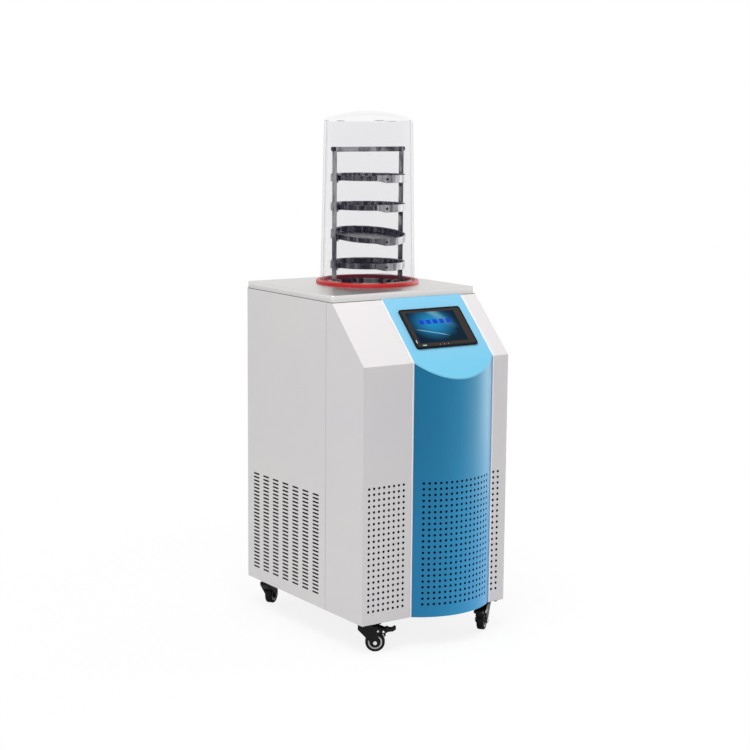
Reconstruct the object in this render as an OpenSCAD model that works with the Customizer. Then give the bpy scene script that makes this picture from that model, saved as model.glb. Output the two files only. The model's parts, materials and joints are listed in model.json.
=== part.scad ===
// Bench-height laboratory freeze dryer on casters: a steel cabinet with a bowed
// front cover, a cold trap under the worktop, and a four-shelf drying rack in a bell jar.
// +X is to the right seen from the front, the front faces -Y, and Z = 0 is the floor.

/* [Cabinet] */
// Width of the cabinet
cabinet_w = 450; // [446:2:470]
// Depth of the cabinet, without the bowed cover and the rear ports
cabinet_d = 565; // [555:5:620]
// Height of the cabinet's panels
cabinet_h = 799; // [780:1:840]
// Run and rise of the leaning part of the front, which leans at 45 degrees
slope_run = 144; // [138:1:152]
// Depth from the front plane to the seam between front shell and side panels
seam_d = 171; // [165:1:190]
// Thickness of the sheet steel
sheet = 1.5; // [1:0.1:2]
// Height of the worktop pan
worktop_h = 17.5; // [15:0.5:22]
// Corner radius of the worktop
worktop_corner = 7; // [4:1:12]

/* [Bowed cover] */
// Left edge of the bowed cover, from the middle of the cabinet
cover_left = -75; // [-80:1:-72]
// Width of the bowed cover
cover_w = 247.5; // [240:0.5:250]
// How far the cover stands out from the front plane
cover_bulge = 44; // [36:1:48]
// Thickness of the leaning fascia
fascia_t = 2.5; // [2:0.5:4]
// Width of the bright strips along the cover's edges
trim_w = 4; // [3:0.5:6]

/* [Vents] */
// Diameter of the round perforations
hole_d = 6; // [4:0.5:8]
// Pitch of the perforations, both ways
hole_pitch = 15; // [14.5:0.5:15.5]
// Rows of perforations
hole_rows = 22; // [8:1:24]
// Length of a side slot
slot_l = 29; // [20:1:36]
// Height of a side slot
slot_h = 4; // [3:0.5:5]
// Columns of side slots
slot_columns = 7; // [3:1:7]
// Rows of side slots
slot_rows = 27; // [8:1:30]

/* [Screen] */
// Width of the screen's bezel
bezel_w = 193; // [180:1:200]
// Height of the screen's bezel, measured up the slope
bezel_h = 125; // [115:1:130]
// How far the bezel stands out from the fascia
bezel_t = 5; // [4:0.5:7]

/* [Drying chamber] */
// Sideways place of the chamber's axis
chamber_x = 35; // [20:1:40]
// Depth of the chamber's axis behind the front plane
chamber_d = 372; // [365:1:380]
// Outer radius of the bell jar at its foot
jar_foot_r = 126.6; // [124:0.2:128]
// Outer radius of the bell jar at its shoulder
jar_shoulder_r = 118; // [116:0.5:122]
// Height of the bell jar over the worktop
jar_h = 456; // [440:1:480]
// Wall thickness of the bell jar
jar_wall = 5.5; // [4:0.5:6]
// Outer radius of a shelf ring
ring_r = 100; // [96:0.5:101]
// Height of a shelf ring's band
ring_h = 20; // [18:1:24]
// Spacing of the shelves
shelf_pitch = 77; // [70:0.5:80]
// Lean of the third shelf, which sits loose on its brackets
loose_tilt = 6; // [0:0.5:7]
// Turn of the rack about its axis
rack_turn = -4.4; // [-10:0.1:10]

/* [Cold trap] */
// Inner radius of the cold trap
trap_r = 97; // [92:0.5:98]
// Depth of the cold trap
trap_depth = 250; // [220:5:280]
// Turns of the evaporator coil
coil_turns = 9; // [5:1:10]

/* [Casters] */
// Height of a caster, from the floor to the cabinet's bottom
caster_h = 78; // [76:0.5:82]
// Radius of a caster wheel
wheel_r = 25; // [23:0.5:25]
// Width of a caster wheel
wheel_w = 20; // [18:0.5:22]
// Distance from the swivel axis to the axle
trail = 20; // [18:0.5:22]

/* [Hidden] */
$fn = 48;

// Reach of the ports behind the back panel
rear_reach = 45;
// Planes of the cabinet
front_y = cover_bulge - (cabinet_d + cover_bulge + rear_reach) / 2;
back_y = front_y + cabinet_d;
seam_y = front_y + seam_d;
slope_top_y = front_y + slope_run;
base_z = caster_h;
deck_z = base_z + cabinet_h;
slope_z = deck_z - slope_run;
gasket_t = 1.5;
worktop_z = deck_z + gasket_t;
top_z = worktop_z + worktop_h;
half_w = cabinet_w / 2;
slope_l = slope_run * sqrt(2);
seam_gap = 0.4;
hem = 12;

// The bowed cover is an arc of this radius over its chord
cover_r = (cover_w * cover_w / 4 + cover_bulge * cover_bulge) / (2 * cover_bulge);
cover_x = cover_left + cover_w / 2;
cover_y = front_y - cover_bulge + cover_r;
cover_lap = 5;
arc_columns = 15;
arc_step = hole_pitch / cover_r * 180 / PI;

// First hole of the left strip, of the right strip, and the lowest row
left_hole_x = 18.5 - half_w;
right_hole_x = cover_left + cover_w + 11;
low_row_z = base_z + 34;
left_columns = 8;
right_columns = 2;

// First column and lowest row of the side slots
slot_y = front_y + 218;
slot_z = base_z + 36;
slot_pitch_y = 50;
slot_pitch_z = 10;

// The screen lies over the fascia's cut-out, this far up the slope
bezel_s = 38;
bezel_rim = 5;
screen_depth = 24;
glass_t = 1.6;

// Seal ring, jar and rack, measured from the worktop
chamber_y = front_y + chamber_d;
seal_out_r = jar_foot_r + 11.4;
seal_in_r = jar_foot_r - jar_wall - 3.1;
seal_h = 9.5;
seal_floor = 4;
dome_rise = 20;
jar_corner = 9;
post_w = 20;
post_t = 3;
post_r = ring_r + 0.3;
rack_h = 362;
bar_h = 13;
top_shelf = 270;
ring_t = 1.5;
ledge = 4.7;
ledge_t = 1.2;
tray_r = ring_r - 4.5;
tray_h = 14;
tray_t = 0.8;
ring_start = 249;
ring_span = 294;
bracket_w = 9;

// Cold trap
flange_r = seal_in_r + 1;
flange_lip_r = 145;
flange_lip_t = 6;
trap_wall = 1.5;
trap_floor_z = top_z - trap_depth;
coil_r = 4.5;
coil_ring_r = trap_r + trap_wall + coil_r + 1.9;
insulation_r = 145;
port_z = top_z - 66;
drain_z = trap_floor_z - 90;
drain_r = 6;
drain_bend = 25;

// Refrigeration
compressor_x = -120;
compressor_y = front_y + 430;
can_r = 74;
condenser_w = 220;
condenser_h = 220;
condenser_t = 44;
condenser_y = front_y + 22;
condenser_z = base_z + 22;
fan_r = 88;
fan_y = condenser_y + condenser_t + 34;
fan_z = condenser_z + condenser_h / 2;

// Electrical parts on the back panel
switch_x = 150;
switch_z = base_z + 150;
inlet_z = base_z + 90;
socket_x = 90;
rocker_pin_r = 1.5;

// Casters: place of each swivel axis, and the way its wheel trails
swivel_in_x = 39;
swivel_front_in = 34;
swivel_rear_in = 44;
axle_r = 3;
cheek_in = wheel_w / 2 + 2.5;
cheek_t = 2.5;
crown_top = caster_h - 11;
pedal_u = trail + 21;
pedal_z = wheel_r + 29;
pedal_pin_r = 2;
crown_t = 4;
front_left = [-half_w + swivel_in_x, front_y + swivel_front_in, -34.4];
front_right = [half_w - swivel_in_x, front_y + swivel_front_in, 220.7];
rear_left = [-half_w + swivel_in_x, back_y - swivel_rear_in, 36];
rear_right = [half_w - swivel_in_x, back_y - swivel_rear_in, 170];

// ---------- shared shapes ----------

// Places children on the leaning front: local Y runs up the slope, local Z outwards.
module on_slope() {
    translate([0, front_y, slope_z]) rotate([45, 0, 0]) children();
}

// Places children on the chamber's axis, at the worktop's top.
module in_chamber() {
    translate([chamber_x, chamber_y, top_z]) children();
}

// Turns a side profile, drawn as depth and height, into a solid between two X values.
module side_extrude(x0, x1) {
    translate([x0, 0, 0]) rotate([90, 0, 90]) linear_extrude(x1 - x0) children();
}

// A hole or pin along Y, starting at y.
module bar_y(x, y, z, r, l) {
    translate([x, y + l, z]) rotate([90, 0, 0]) cylinder(h = l, r = r);
}

module rounded_square(w, h, r) {
    translate([r, 0]) square([w - 2 * r, h]);
    translate([0, r]) square([w, h - 2 * r]);
    for (x = [r, w - r])
        for (y = [r, h - r])
            translate([x, y]) circle(r);
}

// A slot with round ends, centred.
module slot_2d(l, h) {
    square([l - h, h], center = true);
    for (s = [-1, 1])
        translate([s * (l - h) / 2, 0]) circle(d = h);
}

// ---------- cabinet ----------

// Plan of the bowed cover in front of the front plane, set in by some thickness.
module cover_plan(inset = 0) {
    side = max(inset, 0);
    intersection() {
        translate([cover_x, cover_y]) circle(cover_r - inset);
        translate([cover_left + side, front_y - 2 * cover_bulge])
            square([cover_w - 2 * side, 2 * cover_bulge]);
    }
}

// Outline of the front shell seen from the side, set in by some thickness.
module shell_profile(inset = 0) {
    corner = inset * tan(22.5);
    polygon([
        [front_y + inset, base_z - inset],
        [front_y + inset, slope_z - corner],
        [slope_top_y + corner, deck_z - inset],
        [seam_y - seam_gap + inset, deck_z - inset],
        [seam_y - seam_gap + inset, base_z - inset]
    ]);
}

module base_pan() {
    floor_t = 2;
    pan_wall = 20;
    pan_in = sheet + 0.5;
    left = pan_in - half_w;
    width = cabinet_w - 2 * pan_in;
    depth = cabinet_d - 2 * pan_in;
    color("dimgray") translate([0, 0, base_z]) {
        linear_extrude(floor_t) {
            translate([left, front_y + pan_in]) square([width, depth]);
            cover_plan(sheet + 0.3);
            translate([cover_left + cover_lap + 1, front_y - 1])
                square([cover_w - 2 * cover_lap - 2, pan_in + 2]);
        }
        linear_extrude(pan_wall) difference() {
            translate([left, front_y + pan_in]) square([width, depth]);
            translate([left + floor_t, front_y + pan_in + floor_t])
                square([width - 2 * floor_t, depth - 2 * floor_t]);
        }
        // Hat rails that carry the compressor
        for (y = [-58, 42])
            translate([compressor_x - 80, compressor_y + y, 0]) cube([160, 16, 12]);
    }
}

// Four angle posts and the rails that join them under the worktop.
module chassis_frame() {
    leg = 25;
    leg_t = 2;
    post_x = half_w - sheet - hem - 1;
    front = seam_y + 6;
    rear = back_y - sheet - hem - 3;
    low = base_z + 2;
    high = deck_z - sheet - 0.5;
    module angle_post(sx, y, sy) {
        translate([sx * post_x, y, low]) {
            translate([sx > 0 ? -leg_t : 0, sy > 0 ? 0 : -leg, 0]) cube([leg_t, leg, high - low]);
            translate([sx > 0 ? -leg : 0, sy > 0 ? 0 : -leg_t, 0]) cube([leg, leg_t, high - low]);
        }
    }
    color("gray") {
        for (sx = [-1, 1]) {
            angle_post(sx, front, 1);
            angle_post(sx, rear, -1);
            translate([sx * post_x - (sx > 0 ? leg_t : 0), front, high - leg])
                cube([leg_t, rear - front, leg]);
        }
        for (y = [front, rear - leg_t])
            translate([-post_x, y, high - leg]) cube([2 * post_x, leg_t, leg]);
    }
}

// Round perforations in the flat strips beside the cover.
module strip_holes() {
    for (row = [0 : hole_rows - 1]) {
        for (i = [0 : left_columns - 1])
            bar_y(left_hole_x + i * hole_pitch, front_y - 1, low_row_z + row * hole_pitch,
                hole_d / 2, sheet + 2);
        for (i = [0 : right_columns - 1])
            bar_y(right_hole_x + i * hole_pitch, front_y - 1, low_row_z + row * hole_pitch,
                hole_d / 2, sheet + 2);
    }
}

// One folded shell: front strips, leaning face, top hem and side returns.
module front_shell() {
    open_left = cover_left + cover_lap;
    open_w = cover_w - 2 * cover_lap;
    rail = 14;
    tongue = 2.5;
    window_run = slope_run - rail;
    color("whitesmoke") difference() {
        side_extrude(-half_w, half_w) shell_profile();
        side_extrude(sheet - half_w, half_w - sheet) shell_profile(sheet);
        // The slot that the base pan's tongue fills
        translate([open_left, front_y - 1, base_z - 1]) cube([open_w, sheet + 2, tongue + 1]);
        // Window behind the bowed cover and the fascia, bent as the front is
        side_extrude(open_left, open_left + open_w) polygon([
            [front_y - 1, base_z + rail],
            [front_y + 3 * sheet, base_z + rail],
            [front_y + 3 * sheet, slope_z],
            [front_y + window_run + 2 * sheet, slope_z + window_run - 2 * sheet],
            [front_y + window_run - 2 * sheet, slope_z + window_run + 2 * sheet],
            [front_y - 1, slope_z + 1]
        ]);
        strip_holes();
    }
}

// A sheet panel with hems folded inwards all round, standing in the YZ plane.
module side_panel(side) {
    // The lower hem clears the base pan's wall
    toe = 22;
    y0 = seam_y + seam_gap;
    depth = back_y - sheet - y0;
    color("gainsboro") rotate([90, 0, 90]) translate([0, 0, side < 0 ? -half_w : half_w - sheet])
        linear_extrude(sheet) difference() {
            translate([y0, base_z]) square([depth, cabinet_h]);
            for (i = [0 : slot_columns - 1])
                for (j = [0 : slot_rows - 1])
                    translate([slot_y + i * slot_pitch_y, slot_z + j * slot_pitch_z])
                        slot_2d(slot_l, slot_h);
        }
    color("gainsboro") translate([side < 0 ? sheet - half_w : half_w - hem, 0, 0]) difference() {
        translate([0, y0, base_z + toe]) cube([hem - sheet, depth, cabinet_h - toe]);
        translate([-1, y0 + sheet, base_z + toe + sheet])
            cube([hem + 1, depth - 2 * sheet, cabinet_h - toe - 2 * sheet]);
    }
}

module left_side_panel() {
    side_panel(-1);
}

module right_side_panel() {
    side_panel(1);
}

module back_panel() {
    vent_columns = 5;
    vent_rows = 12;
    color("gainsboro") translate([0, back_y, 0]) rotate([90, 0, 0]) linear_extrude(sheet)
        difference() {
            translate([-half_w, base_z]) square([cabinet_w, cabinet_h]);
            for (i = [0 : vent_columns - 1])
                for (j = [0 : vent_rows - 1])
                    translate([-165 + i * 40, base_z + 260 + j * slot_pitch_z])
                        slot_2d(slot_l, slot_h);
            translate([chamber_x, port_z]) circle(17);
            translate([chamber_x, drain_z]) circle(9);
            translate([switch_x - 13.5, switch_z - 9.5]) square([27, 19]);
            translate([switch_x - 14, inlet_z - 10]) square([28, 20]);
            translate([socket_x - 16, inlet_z - 12]) square([32, 24]);
        }
}

module worktop_gasket() {
    inset = 0.7;
    band = 10;
    front = slope_top_y + inset;
    color("black") translate([0, 0, deck_z]) linear_extrude(gasket_t) difference() {
        translate([inset - half_w, front]) square([cabinet_w - 2 * inset, back_y - inset - front]);
        translate([inset + band - half_w, front + band])
            square([cabinet_w - 2 * (inset + band), back_y - inset - front - 2 * band]);
    }
}

// A pan with a turned-down edge, and the hole that the trap's flange fills.
module worktop() {
    depth = back_y - slope_top_y;
    color("silver") difference() {
        translate([-half_w, slope_top_y, worktop_z]) linear_extrude(worktop_h)
            rounded_square(cabinet_w, depth, worktop_corner);
        translate([sheet - half_w, slope_top_y + sheet, worktop_z - 1])
            linear_extrude(worktop_h - sheet + 1)
                rounded_square(cabinet_w - 2 * sheet, depth - 2 * sheet, worktop_corner - sheet);
        in_chamber() translate([0, 0, -20]) cylinder(h = 30, r = flange_r + 0.3);
    }
}

// The dark panel: punched flat, then rolled, so that every hole points at the arc's centre.
module front_grille() {
    flange_in = 3;
    color("steelblue") difference() {
        translate([0, 0, base_z]) linear_extrude(slope_z - base_z) difference() {
            cover_plan();
            cover_plan(sheet);
        }
        translate([0, 0, base_z + flange_in]) linear_extrude(slope_z - base_z - flange_in)
            for (x = [cover_left, cover_left + cover_w - 10])
                translate([x, front_y - sheet]) square([10, sheet]);
        on_slope() translate([-half_w, -slope_l, 0]) cube([cabinet_w, 2 * slope_l, 200]);
        for (row = [0 : hole_rows - 1])
            for (i = [0 : arc_columns - 1])
                translate([cover_x, cover_y, low_row_z + row * hole_pitch])
                    rotate([90, 0, (i - (arc_columns - 1) / 2) * arc_step])
                        translate([0, 0, cover_r - 6]) cylinder(h = 12, d = hole_d);
    }
}

// The pale panel lies in the leaning plane and ends in the arc of the bowed cover.
module screen_fascia() {
    edge = 0.8;
    color("skyblue") difference() {
        intersection() {
            on_slope() translate([-half_w, -slope_l, 0]) cube([cabinet_w, 2 * slope_l - 1, fascia_t]);
            linear_extrude(deck_z + 50) {
                cover_plan(-edge);
                translate([cover_left, front_y - 1]) square([cover_w, slope_run + 1]);
            }
        }
        on_slope() translate([cover_x - bezel_w / 2 + 9, bezel_s + 9, -1])
            cube([bezel_w - 18, bezel_h - 18, fascia_t + 2]);
    }
}

// Bright strips along both edges of the cover, up the front and up the slope.
module cover_trims() {
    stand = 3.5;
    fold = stand * tan(22.5);
    color("white") for (x = [cover_left - trim_w - 0.3, cover_left + cover_w + 0.3])
        side_extrude(x, x + trim_w) polygon([
            [front_y, base_z],
            [front_y, slope_z],
            [slope_top_y - 1, deck_z - 1],
            [slope_top_y - 1 - stand / sqrt(2), deck_z - 1 + stand / sqrt(2)],
            [front_y - stand, slope_z + fold],
            [front_y - stand, base_z]
        ]);
}

// ---------- screen ----------

module screen_bezel() {
    color("black") on_slope() translate([cover_x - bezel_w / 2, bezel_s, fascia_t]) {
        difference() {
            linear_extrude(bezel_t) rounded_square(bezel_w, bezel_h, 7);
            translate([bezel_rim, bezel_rim, bezel_t - glass_t - 0.6])
                linear_extrude(bezel_t) rounded_square(bezel_w - 2 * bezel_rim,
                    bezel_h - 2 * bezel_rim, 3);
        }
        // Housing of the panel computer, behind the fascia
        translate([9.5, 9.5, -screen_depth]) cube([bezel_w - 19, bezel_h - 19, screen_depth]);
    }
}

module screen_glass() {
    gap = 0.2;
    inset = bezel_rim + gap;
    color("darkslategray") on_slope()
        translate([cover_x - bezel_w / 2 + inset, bezel_s + inset, fascia_t + bezel_t - glass_t - 0.6])
            linear_extrude(glass_t) rounded_square(bezel_w - 2 * inset, bezel_h - 2 * inset, 2.8);
}

// ---------- drying chamber ----------

// A ring with a groove that the jar's foot stands in.
module seal_ring() {
    round_r = 3;
    groove_in = jar_foot_r - jar_wall - 0.3;
    groove_w = jar_wall + 0.6;
    color("crimson") in_chamber() rotate_extrude() difference() {
        union() {
            translate([seal_in_r, 0]) square([seal_out_r - round_r - seal_in_r, seal_h]);
            translate([seal_in_r, 0]) square([seal_out_r - seal_in_r, seal_h - round_r]);
            translate([seal_out_r - round_r, seal_h - round_r]) circle(round_r);
        }
        translate([groove_in, seal_floor]) square([groove_w, seal_h]);
    }
}

// Half section of the jar, filled: a tapered side, a round shoulder and a low dome.
module jar_section(inset, foot) {
    taper = (jar_foot_r - jar_shoulder_r) / (jar_h - dome_rise);
    dome_r = (jar_shoulder_r * jar_shoulder_r + dome_rise * dome_rise) / (2 * dome_rise);
    dome_z = jar_h - dome_r;
    cx = jar_shoulder_r - jar_corner;
    cz = dome_z + sqrt(pow(dome_r - jar_corner, 2) - cx * cx);
    lean = atan(taper);
    r = jar_corner - inset;
    side_x = cx + r * cos(lean);
    side_z = cz + r * sin(lean);
    out = (dome_r - inset) / (dome_r - jar_corner);
    foot_x = side_x + (side_z - foot) * tan(lean);
    polygon([[0, foot], [foot_x, foot], [side_x, side_z], [cx, cz], [0, cz]]);
    translate([cx, cz]) circle(r);
    intersection() {
        translate([0, dome_z]) circle(dome_r - inset);
        polygon([[0, cz - 1], [cx, cz - 1], [cx, cz],
            [cx * out, dome_z + (cz - dome_z) * out], [cx * out, jar_h + 1], [0, jar_h + 1]]);
    }
}

module bell_jar() {
    color([0.8, 0.85, 0.9, 0.35]) in_chamber() rotate_extrude() difference() {
        jar_section(0, seal_floor + 0.02);
        jar_section(jar_wall, seal_floor - 1);
    }
}

// Height of a shelf ring's lower edge over the worktop.
function shelf_z(i) = top_shelf - (i - 1) * shelf_pitch;

// Places children in the rack's own frame: the posts stand on its X axis.
module in_rack() {
    in_chamber() rotate([0, 0, rack_turn]) children();
}

// Two strip posts, the handle bar between them, the feet and the shelf brackets.
module rack_frame() {
    foot_l = 11;
    bracket_t = 1.5;
    bracket_h = 16;
    bracket_l = 9;
    color("darkgray") in_rack() {
        for (s = [-1, 1]) difference() {
            union() {
                translate([s > 0 ? post_r : -post_r - post_t, -post_w / 2, 0])
                    cube([post_t, post_w, rack_h]);
                translate([s > 0 ? post_r : -post_r - foot_l - post_t, -post_w / 2, 0])
                    cube([foot_l + post_t, post_w, post_t]);
                translate([s > 0 ? post_r - post_t : -post_r, -post_w / 2, rack_h - bar_h])
                    cube([post_t, post_w, bar_h]);
                for (i = [1 : 4]) translate([0, 0, shelf_z(i) - (i == 3 ? 0.5 : 0)]) {
                    translate([s > 0 ? post_r - bracket_l : -post_r, -bracket_w / 2, -bracket_t])
                        cube([bracket_l, bracket_w, bracket_t]);
                    translate([s > 0 ? post_r - bracket_t : -post_r, -bracket_w / 2, -bracket_h])
                        cube([bracket_t, bracket_w, bracket_h]);
                }
            }
            // Adjusting holes between the shelves
            for (i = [1 : 3])
                for (k = [1 : 2])
                    translate([s * post_r, 0, shelf_z(i) - 26 - k * 12])
                        rotate([0, 90, 0]) cylinder(h = 12, d = 5, center = true);
        }
        translate([-post_r + 1, -post_t / 2, rack_h - bar_h]) cube([2 * post_r - 2, post_t, bar_h]);
    }
}

// Dark thumb screws of the handle bar and round-head screws of the brackets and rings.
module rack_screws() {
    knob_r = 6;
    head_r = 3.2;
    lap_turn = 17;
    color("black") {
        in_rack() for (s = [-1, 1]) {
            translate([s * (post_r + post_t), 0, rack_h - bar_h / 2 + 1]) rotate([0, s * 90, 0]) {
                cylinder(h = 2, r = 4);
                translate([0, 0, 2]) cylinder(h = 5, r = knob_r);
            }
            for (i = [1 : 4])
                translate([s * (post_r - 1.5), 0, shelf_z(i) - 10])
                    rotate([0, -s * 90, 0]) cylinder(h = 3, r = head_r);
        }
        for (i = [1 : 4])
            in_chamber() translate([0, 0, shelf_z(i)]) tilt_shelf(i)
                rotate([0, 0, ring_start + lap_turn]) translate([ring_r + 0.02, 0, ring_h / 2])
                    rotate([0, 90, 0]) cylinder(h = 2.4, r = head_r);
    }
}

// A C-shaped band with a ledge inside, a tapered free end and the screw of its lap.
module shelf_ring(i) {
    tip_lift = 6;
    taper = 11.3;
    color("gray") in_chamber() translate([0, 0, shelf_z(i)]) tilt_shelf(i) difference() {
        rotate([0, 0, ring_start]) rotate_extrude(angle = ring_span) {
            translate([ring_r - ring_t, 0]) square([ring_t, ring_h]);
            translate([ring_r - ring_t - 8, ledge - ledge_t]) square([8.5, ledge_t]);
        }
        rotate([0, 0, ring_start]) translate([ring_r, 0, tip_lift])
            rotate([-taper, 0, 0]) translate([-20, -5, -20]) cube([40, 60, 20]);
    }
}

// The third shelf leans about the line between the posts.
module tilt_shelf(i) {
    lean = i == 3 ? loose_tilt : 0;
    rotate([0, 0, rack_turn]) rotate([lean, 0, 0]) rotate([0, 0, -rack_turn]) children();
}

// A round dish with a narrow rim, standing on the ledge of its ring.
module tray(i) {
    rim = 1.2;
    color("dimgray") in_chamber() translate([0, 0, shelf_z(i)]) tilt_shelf(i)
        translate([0, 0, ledge]) rotate_extrude() {
            square([tray_r, tray_t]);
            translate([tray_r - tray_t, 0]) square([tray_t, tray_h]);
            translate([tray_r - tray_t, tray_h - tray_t]) square([tray_t + rim, tray_t]);
        }
}

// ---------- cold trap ----------

module trap_flange() {
    color("lightgray") in_chamber() rotate_extrude() {
        translate([trap_r, -sheet - flange_lip_t])
            square([flange_r - trap_r, sheet + flange_lip_t]);
        translate([trap_r, -sheet - flange_lip_t])
            square([flange_lip_r - trap_r, flange_lip_t]);
    }
}

module trap_well() {
    top = -sheet - flange_lip_t;
    color("silver") difference() {
        in_chamber() union() {
            translate([0, 0, -trap_depth - trap_wall])
                cylinder(h = trap_depth + trap_wall + top, r = trap_r + trap_wall);
            translate([0, 0, -trap_depth - 12]) cylinder(h = 12, r = drain_r + 2);
            // Branch to the vacuum port
            translate([0, 0, port_z - top_z]) rotate([-90, 0, 0])
                cylinder(h = insulation_r + 2, r = 14.5);
        }
        in_chamber() translate([0, 0, -trap_depth]) cylinder(h = trap_depth + 10, r = trap_r);
        in_chamber() translate([0, 0, -trap_depth - 20]) cylinder(h = 30, r = drain_r);
        in_chamber() translate([0, 0, port_z - top_z]) rotate([-90, 0, 0])
            cylinder(h = insulation_r + 10, r = 13);
    }
}

// Rings of the helix, each with round_n points, swept as one closed polyhedron.
module evaporator_coil() {
    round_n = 8;
    per_turn = 18;
    steps = coil_turns * per_turn;
    pitch = 15.5;
    first_z = 14;
    function coil_point(k, j) =
        let (a = 360 * k / per_turn, b = 360 * j / round_n, r = coil_ring_r + coil_r * cos(b))
        [r * cos(a), r * sin(a), first_z + pitch * k / per_turn + coil_r * sin(b)];
    points = [for (k = [0 : steps]) for (j = [0 : round_n - 1]) coil_point(k, j)];
    walls = [for (k = [0 : steps - 1]) for (j = [0 : round_n - 1])
        [k * round_n + j, (k + 1) * round_n + j,
         (k + 1) * round_n + (j + 1) % round_n, k * round_n + (j + 1) % round_n]];
    start_cap = [for (j = [0 : round_n - 1]) j];
    end_cap = [for (j = [round_n - 1 : -1 : 0]) steps * round_n + j];
    color("chocolate") translate([chamber_x, chamber_y, trap_floor_z])
        polyhedron(points, concat(walls, [start_cap], [end_cap]));
}

// Foamed-in shell around the trap and its coil.
module trap_insulation() {
    wall_in = coil_ring_r + coil_r + 0.6;
    bottom = -trap_depth - 34;
    top = -sheet - flange_lip_t;
    color("khaki") difference() {
        in_chamber() translate([0, 0, bottom]) cylinder(h = top - bottom, r = insulation_r);
        in_chamber() translate([0, 0, -trap_depth - trap_wall])
            cylinder(h = trap_depth + 10, r = wall_in);
        in_chamber() translate([0, 0, bottom - 1]) cylinder(h = 50, r = drain_r + 2.5);
        in_chamber() translate([0, 0, port_z - top_z]) rotate([-90, 0, 0])
            cylinder(h = insulation_r + 10, r = 15);
    }
}

// Down from the trap's floor, round one bend, and back to the drain valve.
module drain_tube() {
    drop = trap_floor_z - 12 - (drain_z + drain_bend);
    run = back_y - (chamber_y + drain_bend);
    module tube_2d() {
        difference() {
            circle(drain_r + 1.5);
            circle(drain_r - 1);
        }
    }
    color("ivory") translate([chamber_x, chamber_y, 0]) {
        translate([0, 0, drain_z + drain_bend]) linear_extrude(drop) tube_2d();
        translate([0, drain_bend, drain_z + drain_bend]) rotate([0, 90, 0]) rotate([0, 0, -90])
            rotate_extrude(angle = 90) translate([drain_bend, 0]) tube_2d();
        translate([0, drain_bend + run, drain_z]) rotate([90, 0, 0]) linear_extrude(run) tube_2d();
    }
}

// ---------- refrigeration ----------

// A welded can on a foot plate, with its terminal box and pipe stubs.
module compressor() {
    can_h = 190;
    cap = 40;
    low = base_z + 12;
    color("black") translate([compressor_x, compressor_y, low]) {
        rotate_extrude() intersection() {
            square([can_r, can_h + 16]);
            union() {
                translate([0, 16]) square([can_r - 6, 30]);
                translate([0, 46]) square([can_r, can_h - 46 - cap + 16]);
                translate([0, can_h + 16 - cap - 0.01]) intersection() {
                    square([can_r, cap]);
                    translate([0, cap - 115]) circle(115);
                }
            }
        }
        translate([-78, -60, 10]) cube([156, 120, 6]);
        for (x = [-66, 66])
            for (y = [-50, 50])
                translate([x, y, 0]) cylinder(h = 10, r = 9);
        translate([can_r - 8, -22, 60]) cube([26, 44, 52]);
        translate([-can_r + 14, -18, 100]) rotate([0, -60, 0]) cylinder(h = 34, r = 5);
        translate([-can_r + 14, 18, 80]) rotate([0, -90, 0]) cylinder(h = 34, r = 4);
    }
}

// Fins on rows of tubes between two end plates.
module condenser() {
    fins = 24;
    fin_t = 0.8;
    tubes = 6;
    color("silver") translate([cover_x - condenser_w / 2, condenser_y, condenser_z]) {
        for (x = [0, condenser_w - 2]) translate([x, 0, 0]) cube([2, condenser_t, condenser_h]);
        for (z = [0, condenser_h - 2]) translate([0, 0, z]) cube([condenser_w, condenser_t, 2]);
        for (i = [1 : fins - 1])
            translate([i * condenser_w / fins - fin_t / 2, 2, 0]) cube([fin_t, condenser_t - 4, condenser_h]);
        for (k = [0 : tubes - 1])
            translate([-6, condenser_t / 2, (k + 0.5) * condenser_h / tubes])
                rotate([0, 90, 0]) cylinder(h = condenser_w + 12, r = 4.5);
    }
}

// Plate with the fan's throat, and the motor on four arms behind it.
module fan_shroud() {
    throat = fan_r + 4;
    depth = 30;
    plate_y = condenser_y + condenser_t;
    color("dimgray") {
        difference() {
            union() {
                translate([cover_x - condenser_w / 2, plate_y, condenser_z - 20])
                    cube([condenser_w, 2, condenser_h + 20]);
                bar_y(cover_x, plate_y, fan_z, throat + 2, depth);
            }
            bar_y(cover_x, plate_y - 1, fan_z, throat, depth + 2);
        }
        translate([cover_x - throat - 1, plate_y + depth + 12, fan_z - 8])
            cube([2 * throat + 2, 3, 16]);
        for (s = [-1, 1])
            translate([cover_x + s * (throat + 1) - 1.5, plate_y + depth - 8, fan_z - 8])
                cube([3, 23, 16]);
        bar_y(cover_x, plate_y + depth + 12, fan_z, 32, 46);
        bar_y(cover_x, fan_y - 22, fan_z, 3, 50);
    }
}

module fan_rotor() {
    blades = 5;
    hub_r = 24;
    pitch_angle = 28;
    color("black") translate([cover_x, fan_y - 6, fan_z]) rotate([-90, 0, 0]) difference() {
        union() {
            translate([0, 0, -12]) cylinder(h = 22, r = hub_r);
            intersection() {
                translate([0, 0, -14]) cylinder(h = 28, r = fan_r);
                union() for (i = [0 : blades - 1])
                    rotate([0, 0, i * 360 / blades]) rotate([pitch_angle, 0, 0])
                        translate([hub_r - 8, -22, -1]) cube([fan_r, 44, 2]);
            }
        }
        translate([0, 0, -30]) cylinder(h = 60, r = 3.05);
    }
}

module filter_drier() {
    color("peru") translate([-60, chamber_y - 190, base_z + 2]) {
        cube([24, 24, 3]);
        translate([12, 12, 3]) cylinder(h = 30, r = 4);
        translate([12, 12, 33]) cylinder(h = 8, r1 = 4, r2 = 12);
        translate([12, 12, 41]) cylinder(h = 80, r = 12);
        translate([12, 12, 121]) cylinder(h = 8, r1 = 12, r2 = 4);
        translate([12, 12, 129]) cylinder(h = 30, r = 4);
    }
}

// ---------- back panel fittings ----------

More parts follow.
